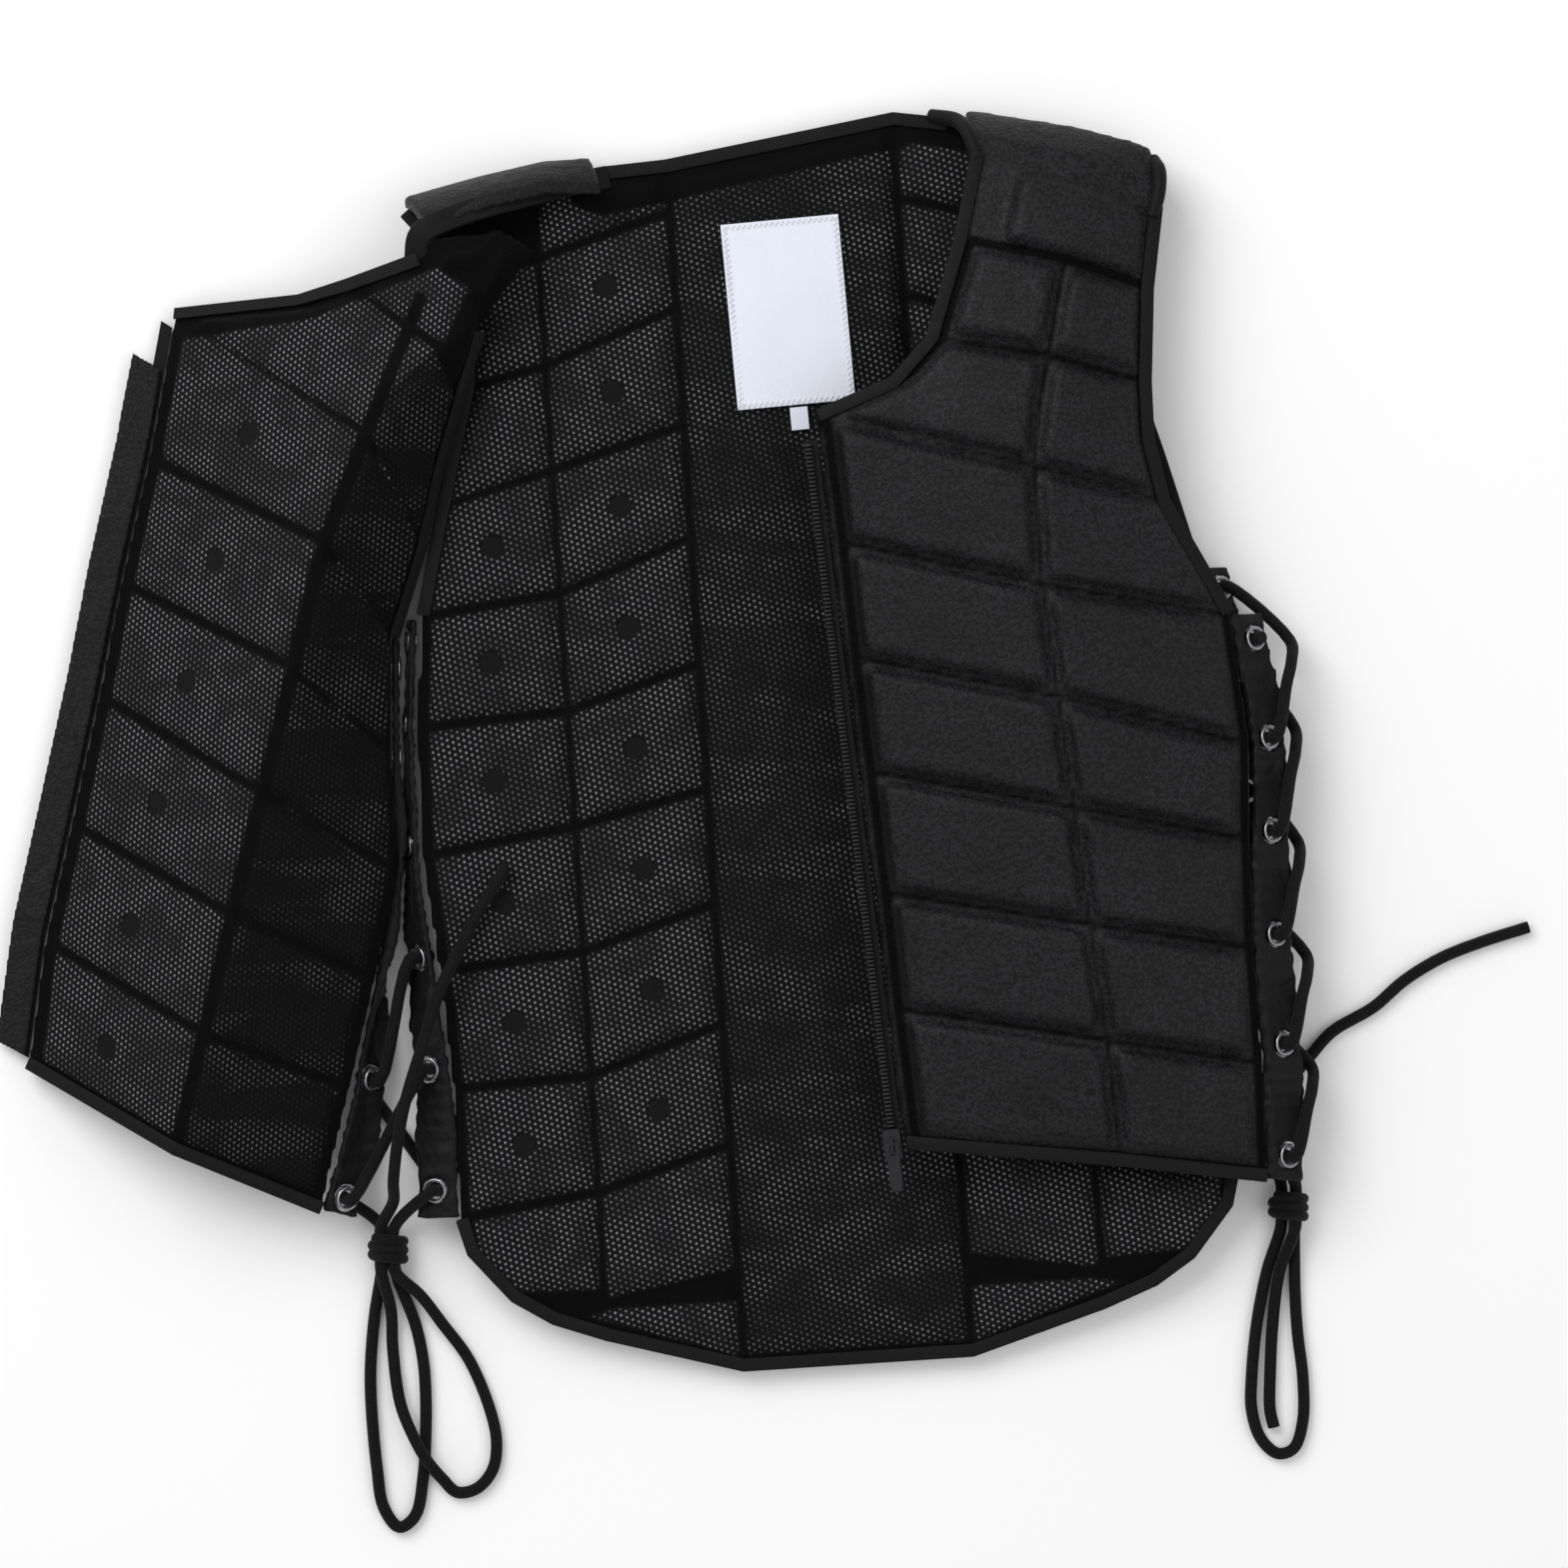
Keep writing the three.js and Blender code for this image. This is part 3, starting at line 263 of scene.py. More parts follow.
lace_routes = {
    "lace_right_a": (strand(open_sides, 0, first_seen_a) + through(open_knot, 1, 1)
                     + laid(loop_second)[::-1] + into(open_knot, -1, 1)),
    "lace_right_b": (strand(open_sides, 1, first_seen_b) + through(open_knot, -1, -1)
                     + laid(loop_first) + into(open_knot, 1, -1)),
    "lace_tail_right": [in_knot(open_knot, -1, 1, way) for way in (mm, knot_exit)] + laid(tail_open),
    "lace_left_a": (strand(closed_sides, 0, 0) + through(closed_knot, -1, -1) + laid(loop_closed)
                    + into(closed_knot, 1, -1)),
    "lace_left_b": strand(closed_sides, 1, 0) + through(closed_knot, 1, 1) + laid(tail_closed),
    "lace_tail_left": laid(tail_free),
}
laces = {}
for node, route in lace_routes.items():
    line = smooth_route(route)
    lace = cord_curve(node.replace("lace", "lacing"), line, lace_radius)
    lace.data.materials.append(lace_cloth)
    laces[node] = (lace, line)
    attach(lace, "vest")
    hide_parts(node)

# The bows' knots are the cord's own wraps round its ends, drawn tight. Each is made as one short coil of
# cord, with the strands and the loops' ends running through it.
wrap_radius = 6.1 * mm
wrap_cord = 2.15 * mm
wrap_turns = 2.4
wrap_width = 8.4 * mm
wrap_steps = 48


def choose(piece):
    bpy.ops.object.select_all(action="DESELECT")
    piece.select_set(True)
    bpy.context.view_layer.objects.active = piece


def as_mesh(curve):
    choose(curve)
    bpy.ops.object.convert(target="MESH")
    return bpy.context.object


for side, centre in (("right", open_knot), ("left", closed_knot)):
    coil = []
    for k in range(wrap_steps + 1):
        turn = 2 * math.pi * wrap_turns * k / wrap_steps
        drift = (k / wrap_steps - 0.5) * wrap_width
        coil.append(centre + Vector((wrap_radius * math.cos(turn), drift, wrap_radius * math.sin(turn))))
    knot = as_mesh(cord_curve(f"bow_knot_{side}", coil, wrap_cord))
    knot.data.materials.append(lace_cloth)
    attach(knot, "vest")
    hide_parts(f"lace_knot_{side}")
    for node in (f"lace_{side}_a", f"lace_{side}_b", f"lace_tail_{side}"):
        lace, line = laces[node]

# The back and the two fronts are rows of foam pads between an outer satin knit and a black mesh lining,
# sewn through between the pads. The lining shows pale foam through its holes, and the larger pads have a
# round vent. Both cloths are painted near black in the grooves as painted shade, by their way in from the
# pads' rims, and the satin's reflection is turned down there too, as painted shade.
lining_black = (0.004, 0.004, 0.0045)
lining_cloth, tree, surface = new_material("mesh_lining", lining_black, 0.85, sheen=0.02, shine=0.08)
hole_pitch = 2.5 * mm
hole_row = math.sqrt(0.75)
weave_turn = math.radians(19.5)
vent_radius = 4.8 * mm
weave = wire(tree, "ShaderNodeUVMap", {"uv_map": "weave"}).outputs[0]
lattice = wire(tree, "ShaderNodeMapping", Vector=weave, Scale=(1 / hole_pitch, 1 / hole_pitch, 1),
               Rotation=(0, 0, weave_turn)).outputs[0]
reach = []
for offset in ((0, 0, 0), (0.5, hole_row, 0)):
    moved = wire(tree, "ShaderNodeVectorMath", {"operation": "ADD"}, i0=lattice, i1=offset).outputs[0]
    cell = wire(tree, "ShaderNodeVectorMath", {"operation": "WRAP"}, i0=moved, i1=(0.5, hole_row, 1),
                i2=(-0.5, -hole_row, -1)).outputs[0]
    reach.append(wire(tree, "ShaderNodeVectorMath", {"operation": "LENGTH"}, i0=cell).outputs["Value"])
from_hole = maths(tree, "MINIMUM", *reach)
rim = wire(tree, "ShaderNodeAttribute", {"attribute_name": "rim"}).outputs["Fac"]
vent = wire(tree, "ShaderNodeAttribute", {"attribute_name": "vent"}).outputs["Fac"]
hole = ramp(tree, from_hole, 0.25, 0.14)
on_pad = ramp(tree, rim, -3.3 * mm, -2.0 * mm)
out_of_vent = ramp(tree, vent, vent_radius - 0.4 * mm, vent_radius + 0.4 * mm)
patchy = ramp(tree, noise(tree, object_place(tree), 70.0, 4.0, 0.6), 0.36, 0.62, 0.3, 1.0)
dots_and_shade = wire(tree, "ShaderNodeAttribute", {"attribute_name": "dots_and_shade"}).outputs["Fac"]
hole_on_pad = maths(tree, "MULTIPLY", hole, on_pad)
shown = maths(tree, "MULTIPLY", hole_on_pad, maths(tree, "MULTIPLY", out_of_vent, patchy))
plain = ramp(tree, dots_and_shade, 0.4, 0.9)
bands = ramp(tree, noise(tree, object_place(tree, (14, 52, 1), 0.12), 1.0, 2.0, 0.5), 0.45, 0.56, 0.15, 1.5)
banded = maths(tree, "ADD", plain, maths(tree, "MULTIPLY", maths(tree, "SUBTRACT", 1.0, plain), bands))
shown = maths(tree, "MULTIPLY", maths(tree, "MULTIPLY", shown, dots_and_shade), banded)
# Painted shade: the lining is painted near black in the grooves between the pads.
groove_shade_tone = ramp(tree, rim, -4.4 * mm, -1.4 * mm)
cloth_tone = blend_colour(tree, groove_shade_tone, (0.0010, 0.0010, 0.0010), (0.0062, 0.0062, 0.0068))
# Painted shade: where the holes show weakly, as on the open front's slope toward the back, the cloth is
# painted darker.
shade_tone = blend_colour(tree, dots_and_shade, (0.0012, 0.0012, 0.0013), cloth_tone)
tree.links.new(blend_colour(tree, shown, shade_tone, (0.185, 0.185, 0.195)), surface.inputs["Base Color"])
creases = noise(tree, object_place(tree), 45.0, 3.0, 0.8)
bent = bump(tree, creases, 2.2 * mm, 0.55)
vent_edge = ramp(tree, vent, vent_radius - 0.6 * mm, vent_radius + 0.6 * mm)
bent = bump(tree, vent_edge, 1.2 * mm, 0.9, bent)
tree.links.new(bump(tree, ramp(tree, from_hole, 0.1, 0.34), 0.25 * mm, 0.7, bent), surface.inputs["Normal"])

groove_floor = -4.6 * mm
groove_lip = -2.6 * mm
satin_cloth, tree, surface = new_material("outer_satin", (0.009, 0.009, 0.0108), 0.5, sheen=0.04, shine=0.16)
grain = noise(tree, object_place(tree, (160, 1500, 160)), 1.0, 2.0)
tone = noise(tree, object_place(tree), 40.0, 3.0)
tree.links.new(ramp(tree, grain, 0.3, 0.7, 0.42, 0.58), surface.inputs["Roughness"])
rim = wire(tree, "ShaderNodeAttribute", {"attribute_name": "rim"}).outputs["Fac"]
patches = ramp(tree, tone, 0.3, 0.7)
satin_tone = blend_colour(tree, patches, (0.0080, 0.0080, 0.0094), (0.0120, 0.0120, 0.0141))
# Painted shade: the satin is painted near black in the grooves between the pads.
satin_groove_shade = ramp(tree, rim, groove_floor, groove_lip)
welt = wire(tree, "ShaderNodeAttribute", {"attribute_name": "welt"}).outputs["Fac"]
speckle = ramp(tree, noise(tree, object_place(tree), 750.0, 2.0), 0.40, 0.60)
satin_tone = blend_colour(tree, speckle, (0.0016, 0.0016, 0.0020), satin_tone)
satin_tone = blend_colour(tree, welt, satin_tone, (0.0022, 0.0022, 0.0026))
satin_tone = blend_colour(tree, satin_groove_shade, (0.0015, 0.0015, 0.0018), satin_tone)
tree.links.new(satin_tone, surface.inputs["Base Color"])
# Painted shade: the satin reflects less in the grooves.
tree.links.new(ramp(tree, rim, groove_floor, groove_lip, 0.03, 0.17), surface.inputs["Specular IOR Level"])
pulled = noise(tree, object_place(tree), 34.0, 4.0, 1.2)
near_seam = ramp(tree, rim, 9 * mm, -3 * mm, 0.25, 1.0)
bent = bump(tree, maths(tree, "MULTIPLY", pulled, near_seam), 3.0 * mm, 0.6)
bent = bump(tree, speckle, 0.2 * mm, 0.6, bent)
tree.links.new(bump(tree, grain, 0.16 * mm, 0.5, bent), surface.inputs["Normal"])

roll_swell = 2.2 * mm
merge_distance = 0.01 * mm
soften_share = 0.6


def soft_copy(name, nodes, voxel, rounds):
    # The solids of these nodes, joined, remeshed as cloth and softened, and their pads' flat tops.
    shape = bmesh.new()
    for node in nodes.split():
        first = len(shape.verts)
        shape.from_mesh(frame["nodes"][node].data)
        if "shoulder_yoke" in node:
            bmesh.ops.remove_doubles(shape, verts=shape.verts[first:], dist=merge_distance)
            shape.normal_update()
            shape.verts.ensure_lookup_table()
            for point in shape.verts[first:]:
                point.co += point.normal * roll_swell
    piece = bpy.data.objects.new(name, bpy.data.meshes.new(name))
    shape.to_mesh(piece.data)
    shape.free()
    bpy.context.collection.objects.link(piece)
    choose(piece)
    bpy.ops.object.mode_set(mode="EDIT")
    bpy.ops.mesh.select_all(action="SELECT")
    bpy.ops.mesh.remove_doubles(threshold=merge_distance)
    bpy.ops.object.mode_set(mode="OBJECT")
    tops = pad_tops(piece.data)
    if voxel:
        remesh = piece.modifiers.new("cloth", "REMESH")
        remesh.mode = "VOXEL"
        remesh.voxel_size = voxel
        bpy.ops.object.modifier_apply(modifier=remesh.name)
    if rounds:
        soften = piece.modifiers.new("soften", "SMOOTH")
        soften.factor = soften_share
        soften.iterations = rounds
        bpy.ops.object.modifier_apply(modifier=soften.name)
    bpy.ops.object.shade_smooth()
    return piece, tops


smallest_top_area = 0.0003
flat_enough = 0.9
furthest_middle = 6 * mm


def pad_tops(mesh):
    # A pad's flat top is four triangles round its middle: gives middle, normal and corners for each.
    shape = bmesh.new()
    shape.from_mesh(mesh)
    tops = []
    for point in shape.verts:
        if len(point.link_faces) != 4 or sum(f.calc_area() for f in point.link_faces) < smallest_top_area:
            continue
        ring = [edge.other_vert(point).co.copy() for edge in point.link_edges]
        normal = sum((f.normal for f in point.link_faces), Vector()).normalized()
        centre = sum(ring, Vector()) / 4
        least_flat = min(f.normal.dot(normal) for f in point.link_faces)
        if least_flat < flat_enough or (centre - point.co).length > furthest_middle:
            continue
        side = (ring[0] - centre).normalized()
        ring.sort(key=lambda p: math.atan2((p - centre).dot(normal.cross(side)), (p - centre).dot(side)))
        tops.append((point.co.copy(), normal, ring))
    shape.free()
    return tops


smallest_vented = 22 * mm
vented_strength = 0.9
no_vent = 50 * mm
seam_half = 5.6 * mm
off_pads = -20 * mm
pad_reach = 9 * mm
dots_reach = 4 * mm
band_slope = 1.2
band_edge = 2 * mm


def keep_values(piece, name, values):
    attribute = piece.data.attributes.new(name, "FLOAT", "POINT")
    attribute.data.foreach_set("value", np.asarray(values, dtype=np.float32))


def measure_pads(piece, tops, plain_beyond=True, strength=lambda middle, normal: 1.0, bare_bands=()):
    # Kept on each point for the materials: how far it lies in from its pad top's rim, how far from the pad's
    # vent, and how strongly the holes show. Where the holes show weakly the lining is also painted darker,
    # which on the open front's slope is painted shade. Beyond the seams round the pads the cloth is plain
    # or, in a lining, bare.
    mesh = piece.data
    spots = np.empty(len(mesh.vertices) * 3)
    mesh.vertices.foreach_get("co", spots)
    spots = spots.reshape(-1, 3)
    inside = np.full(len(spots), off_pads)
    from_vent = np.full(len(spots), no_vent)
    dots_and_shade = np.ones(len(spots))
    for middle, normal, ring in tops:
        height = (spots - np.array(middle)) @ np.array(normal)
        near = np.abs(height) < pad_reach
        least = np.full(len(spots), 1.0)
        sides = list(zip(ring, ring[1:] + ring[:1]))
        for a, b in sides:
            least = np.minimum(least, (spots - np.array(a)) @ np.array(normal.cross(b - a).normalized()))
        flat = spots - np.array(middle) - np.outer(height, normal)
        inside = np.where(near, np.maximum(inside, least), inside)
        share = strength(middle, normal)
        dots_and_shade = np.where(near & (least > -dots_reach), share, dots_and_shade)
        if share > vented_strength and min((a - b).length for a, b in sides) > smallest_vented:
            from_vent = np.where(near, np.minimum(from_vent, np.linalg.norm(flat, axis=1)), from_vent)
    if plain_beyond:
        inside = np.where(inside < -seam_half, np.minimum(-2 * seam_half - inside, 0), inside)
    for start, end, half_width in bare_bands:
        way = np.array(end - start)[:2]
        offset = spots[:, :2] - np.array(start)[:2]
        share = np.clip(offset @ way / (way @ way), 0, 1)
        distance = np.linalg.norm(offset - np.outer(share, way), axis=1)
        inside = np.minimum(inside, (distance - half_width) * band_slope - band_edge)
    for name, values in (("rim", inside), ("vent", from_vent), ("dots_and_shade", dots_and_shade)):
        keep_values(piece, name, values)
    return spots


def weave_map(piece, across, along):
    corner = np.empty(len(piece.data.loops), dtype=np.int32)
    piece.data.loops.foreach_get("vertex_index", corner)
    layer = piece.data.uv_layers.new(name="weave")
    layer.data.foreach_set("uv", np.column_stack([across, along])[corner].astype(np.float32).ravel())


def two_sided(piece, upper, lower):
    piece.data.materials.append(upper)
    piece.data.materials.append(lower)
    normals = np.empty(len(piece.data.polygons) * 3)
    piece.data.polygons.foreach_get("normal", normals)
    piece.data.polygons.foreach_set("material_index", (normals.reshape(-1, 3)[:, 2] < 0).astype(np.int32))
    piece.data.update()


pad_voxel = 1.9 * mm
pad_rounds = 5
neck_facing = [(Vector((-18, 226, 0)) * mm, Vector((98, 253, 0)) * mm, 17 * mm),
               (Vector((98, 253, 0)) * mm, Vector((135, 247, 0)) * mm, 14 * mm)]
spine_column = 70 * mm
spine_reach = 35 * mm
spine_strength = 0.6


def back_strength(middle, normal):
    return spine_strength if abs(middle.x - spine_column) < spine_reach else 1.0


back, tops = soft_copy("padded_back", "back_panel", pad_voxel, pad_rounds)
spots = measure_pads(back, tops, False, back_strength, neck_facing)
weave_map(back, spots[:, 0], spots[:, 1])
two_sided(back, lining_cloth, satin_cloth)

# The closed front shows its satin side and is drawn in one piece with the strap over its shoulder. A flat
# welt of blacker cloth runs beside the zip, from the front's foot to its neck.
shoulder_pad_from = 188 * mm
welt_width = 9.4 * mm
welt_under = 8 * mm
closed_nodes = "front_panel_left shoulder_yoke_left"
closed_front, tops = soft_copy("padded_front_left", closed_nodes, pad_voxel, pad_rounds)
spots = measure_pads(closed_front, [top for top in tops if top[0].y < shoulder_pad_from])
zip_foot = np.array(spread(63, -305, 33))
zip_top = np.array(spread(8, 173, 37))
zip_way = (zip_top - zip_foot)[:2] / np.linalg.norm((zip_top - zip_foot)[:2])
zip_reach = (spots - zip_foot)[:, :2] @ np.array([zip_way[1], -zip_way[0]])
keep_values(closed_front, "welt", np.clip((welt_width - zip_reach) / mm, 0, 1) * (zip_reach > -welt_under))
weave_map(closed_front, spots[:, 0], spots[:, 1])
two_sided(closed_front, satin_cloth, lining_cloth)

# The open front stands as a ridge along its middle seam, with its lining up. The lining's holes run along
# and across that ridge, drawn closer across it for the slopes. On the slope that faces the back the holes
# show faintly and the lining is painted darker: painted shade.
ridge_seams = [(spread(-484, -309), spread(-369, 169), 3.4 * mm),
               (spread(-369, 169), spread(-300, 362), 3.4 * mm),
               (Vector((-187, 169, 0)) * mm, Vector((-137, 176, 0)) * mm, 10 * mm),
               (Vector((-137, 176, 0)) * mm, Vector((-91, 193, 0)) * mm, 10 * mm)]
slope_toward_back = 0.25
slope_shade_strength = 0.3
slope_stretch = 1.25


# Painted shade: the slope that faces the back gets fainter holes and a darker lining.
def front_shade_strength(middle, normal):
    return slope_shade_strength if normal.x > slope_toward_back else 1.0


open_front, tops = soft_copy("padded_front_right", "front_panel_right", pad_voxel, pad_rounds)
spots = measure_pads(open_front, tops, False, front_shade_strength, ridge_seams)
ridge_foot = np.array(spread(-484, -309, 38))
ridge_top = np.array(spread(-369, 169, 58))
ridge = (ridge_top - ridge_foot) / np.linalg.norm(ridge_top - ridge_foot)
level = np.array([ridge[1], -ridge[0], 0.0])
level /= np.linalg.norm(level)
offset = spots - ridge_foot
weave_map(open_front, offset @ level * slope_stretch, offset @ ridge)
two_sided(open_front, lining_cloth, satin_cloth)
panels = ((back, "back_panel", "lining"), (closed_front, closed_nodes, "satin"),
          (open_front, "front_panel_right", "lining"))
for piece, nodes, face in panels:
    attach(piece, "vest")
    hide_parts(*nodes.split())

# The right shoulder's strap is the outer cloth folded over a thinner foam, between the back and the open
# front. Its cloth lies flat and without shine, so it takes part of the welt's black all over.
strap_voxel = 1.3 * mm
strap_rounds = 6
strap_black = 0.55
strap, tops = soft_copy("shoulder_strap_right", "shoulder_yoke_right", strap_voxel, strap_rounds)
measure_pads(strap, tops)
keep_values(strap, "welt", np.full(len(strap.data.vertices), strap_black))
strap.data.materials.append(satin_cloth)
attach(strap, "vest")
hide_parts("shoulder_yoke_right")

# The side strips are doubled outer cloth, sewn along the sides of the back and the fronts and gathered
# where the laces pull on them. Beside the eyelets each reaches further out than its solid, by the mm given
# to its left and right.
gather_pitch = 7 * mm
gather_depth = 0.5 * mm
gather_drift = 3
drift_rate = 90
strip_voxel = 1.1 * mm
strip_rounds = 3
eyelet_hold = 5 * mm
hold_fade = 2 * mm
eyelet_spaces = 5
bulge_share = 0.25
strip_reach = {"front_left": (-4.2, 2.6), "back_left": (-6, 4.0),
               "front_right": (-2.5, 3.2), "back_right": (-3.2, 2.5)}
strip_black = (0.0046, 0.0046, 0.0054)
strip_cloth, tree, surface = new_material("strip_satin", strip_black, 0.55, sheen=0.03, shine=0.14)
folds = noise(tree, object_place(tree), 110.0, 3.0, 0.8)
tree.links.new(bump(tree, folds, 2.2 * mm, 0.7), surface.inputs["Normal"])
for side in ("front_left", "front_right", "back_left", "back_right"):
    strip = soft_copy(f"laced_strip_{side}", f"side_strip_{side}", strip_voxel, strip_rounds)[0]
    inner_reach, outer_reach = strip_reach[side]
    foot, top = eyelet_seat(f"eyelet_{side}_6")[0], eyelet_seat(f"eyelet_{side}_1")[0]
    for point in strip.data.vertices:
        level = (point.co.y - foot.y) / (top.y - foot.y)
        aside = point.co.x - (foot.x + (top.x - foot.x) * level)
        reach = inner_reach if aside < 0 else outer_reach
        bulge = 1 - bulge_share + bulge_share * math.cos(2 * math.pi * (level * eyelet_spaces + 0.5))
        point.co.x += reach * mm * bulge * min(max(abs(aside) - eyelet_hold, 0) / hold_fade, 1)
        drift = gather_drift * math.sin(point.co.y * drift_rate)
        wave = math.sin(2 * math.pi * point.co.y / gather_pitch + drift)
        point.co += point.normal * gather_depth * 0.5 * (wave - 1)
    strip.data.materials.append(strip_cloth)
    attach(strip, "vest")
    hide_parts(f"side_strip_{side}")

# Every rim is bound with smooth black tape, folded round the edge of the cloth and sewn through both its
# own edges. It keeps its solid's shape, with its edges rounded.
tape_edge = 0.42 * mm
tape_cloth, tree, surface = new_material("binding_tape", (0.004, 0.004, 0.0045), 0.6, sheen=0.03, shine=0.12)
ribs = noise(tree, object_place(tree, (700, 700, 700)), 1.0, 2.0)
waves = noise(tree, object_place(tree), 60.0, 2.0)
rib_tone = blend_colour(tree, ribs, (0.0030, 0.0030, 0.0033), (0.0064, 0.0064, 0.0070))
tree.links.new(rib_tone, surface.inputs["Base Color"])
bent = bump(tree, waves, 2.0 * mm, 0.5)
tree.links.new(bump(tree, ribs, 0.2 * mm, 0.6, bent), surface.inputs["Normal"])
for node in sorted(n for n in frame["nodes"] if "binding" in n):
    binding = soft_copy(node.replace("binding", "tape"), node, 0, 0)[0]
    bpy.ops.object.mode_set(mode="EDIT")
    bpy.ops.mesh.select_all(action="SELECT")
    bpy.ops.mesh.tris_convert_to_quads(face_threshold=0.6, shape_threshold=1.2)
    bpy.ops.object.mode_set(mode="OBJECT")
    round_off = binding.modifiers.new("rounding", "BEVEL")
    round_off.width = tape_edge
    round_off.segments = 3
    round_off.limit_method = "ANGLE"
    round_off.angle_limit = math.radians(40)
    bpy.ops.object.modifier_apply(modifier=round_off.name)
    bpy.ops.object.shade_smooth_by_angle(angle=math.radians(50))
    binding.data.materials.append(tape_cloth)
    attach(binding, "vest")
    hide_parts(node)

# Where the neck and armhole tapes run over the shoulders, from each front to the back, they are drawn as
# their own short lengths: the points in mm, then half the thickness and half the width of the flat part.
shoulder_tapes = {
    "neck_tape_over_left": ([(131, 231, 28), (128, 240, 26), (123, 247, 17), (113, 249.5, 9)], 3.0, 0),
    "armhole_tape_over_left": ([(200, 208, 29), (202.5, 217, 29), (203, 226, 25), (201, 231, 18)], 2.8, 0),
    "neck_tape_over_right": ([(-91, 190, 35.5), (-89, 200, 38), (-76, 207, 36.5), (-52, 215, 29),
                              (-32, 221, 19), (-16, 225, 11)], 1.1, 3.6)}
for name, (points, half_thick, half_wide) in shoulder_tapes.items():
    tape = cord_curve(name, smooth_route([Vector(p) * mm for p in points]), half_thick * mm)
    tape.data.extrude = half_wide * mm
    tape.data.twist_mode = "Z_UP"
    tape.data.splines[0].points.foreach_set("tilt", [math.pi / 2] * len(tape.data.splines[0].points))
    tape = as_mesh(tape)
    tape.data.materials.append(tape_cloth)
    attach(tape, "vest")

# The eyelets are plated with nickel: a short barrel, pressed through the strip and rolled over into a
# round lip on each of its faces. One is made as a pattern and copied to every eyelet's seat.
lip_radius = 4.3 * mm
lip_thickness = 0.6 * mm
lip_flatness = 0.8
lip_height = 1.55 * mm
barrel_radius = 3.6 * mm
barrel_length = 3.2 * mm
barrel_wall = 0.1 * mm
nickel_plate, tree, surface = new_material("nickel", (0.36, 0.36, 0.38), 0.3, metallic=1.0)
wear = noise(tree, object_place(tree), 900.0, 4.0)
tree.links.new(ramp(tree, wear, 0.3, 0.75, 0.2, 0.42), surface.inputs["Roughness"])
bpy.ops.object.select_all(action="DESELECT")
bpy.ops.mesh.primitive_torus_add(major_segments=36, minor_segments=12, major_radius=lip_radius,
                                 minor_radius=lip_thickness)
lip = bpy.context.object
bpy.ops.object.mode_set(mode="EDIT")
bpy.ops.mesh.select_all(action="SELECT")
bpy.ops.transform.resize(value=(1, 1, lip_flatness))
bpy.ops.transform.translate(value=(0, 0, lip_height))
bpy.ops.mesh.duplicate()
bpy.ops.transform.translate(value=(0, 0, -2 * lip_height))
bpy.ops.mesh.select_all(action="DESELECT")
bpy.ops.mesh.primitive_cylinder_add(vertices=36, radius=barrel_radius, depth=barrel_length,
                                    end_fill_type="NOTHING")
bpy.ops.object.mode_set(mode="OBJECT")
wall = lip.modifiers.new("wall", "SOLIDIFY")
wall.thickness = barrel_wall
bpy.ops.object.modifier_apply(modifier=wall.name)
bpy.ops.object.shade_smooth()
lip.data.materials.append(nickel_plate)
lip.name = "eyelet_pattern"
for node in sorted(n for n in frame["nodes"] if n.startswith("eyelet")):
    seat, axis = eyelet_seat(node)
    eyelet = bpy.data.objects.new(node.replace("eyelet", "rolled_eyelet"), lip.data.copy())
    bpy.context.collection.objects.link(eyelet)
    eyelet.data.transform(Matrix.Translation(seat) @ axis.to_track_quat("Z", "Y").to_matrix().to_4x4())
    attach(eyelet, "vest")
    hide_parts(node)
bpy.data.objects.remove(lip)

# The zip's closed half is a nylon coil sewn to a woven tape, drawn as one tooth repeated along it. The
# slider, its pull, the tapes and the open half keep their solids and take their nylon, cloth or black
# metal here.
joints = {joint["name"]: joint for joint in frame["joints"]}
zip_up = Vector(joints["zip_slide"]["axis"]).normalized()
zip_side = -Vector(joints["pull_hinge"]["axis"]).normalized()
zip_face = zip_side.cross(zip_up).normalized()
hinge = Vector(joints["pull_hinge"]["pos_m"])
tooth_pitch = 1.6 * mm
tooth_size = (3.3 * mm, 1.1 * mm, 2.3 * mm)
tooth_edge = 0.5 * mm
teeth_count = 179
coil_below_hinge = Vector((0, -8.5 * mm, -4.0 * mm))
bpy.ops.object.select_all(action="DESELECT")
bpy.ops.mesh.primitive_cube_add(size=1)
coil = bpy.context.object
bpy.ops.object.mode_set(mode="EDIT")
bpy.ops.mesh.select_all(action="SELECT")
bpy.ops.transform.resize(value=tooth_size)
bpy.ops.mesh.bevel(offset=tooth_edge, segments=2)
bpy.ops.object.mode_set(mode="OBJECT")
row = coil.modifiers.new("row", "ARRAY")
row.count = teeth_count
row.use_relative_offset = False
row.use_constant_offset = True
row.constant_offset_displace = (0, tooth_pitch, 0)
bpy.ops.object.modifier_apply(modifier=row.name)
bpy.ops.object.shade_smooth()
turn = Matrix((zip_side, zip_up, zip_face)).transposed().to_4x4()
first_tooth = Matrix.Translation(coil_below_hinge + Vector((0, tooth_pitch / 2, 0)))
coil.data.transform(Matrix.Translation(hinge) @ turn @ first_tooth)
coil.name = "zip_coil_left"
coil_nylon, tree, surface = new_material("zip_nylon", (0.008, 0.008, 0.009), 0.42, shine=0.3)
tree.links.new(bump(tree, noise(tree, object_place(tree), 1800.0), 0.1 * mm, 0.5), surface.inputs["Normal"])
coil.data.materials.append(coil_nylon)
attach(coil, "vest")
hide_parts("zipper_coil_left")
for node in ("zipper_tape_left", "zipper_tape_right", "zipper_coil_right"):
    frame["nodes"][node].data.materials.clear()
    frame["nodes"][node].data.materials.append(coil_nylon if "coil" in node else tape_cloth)
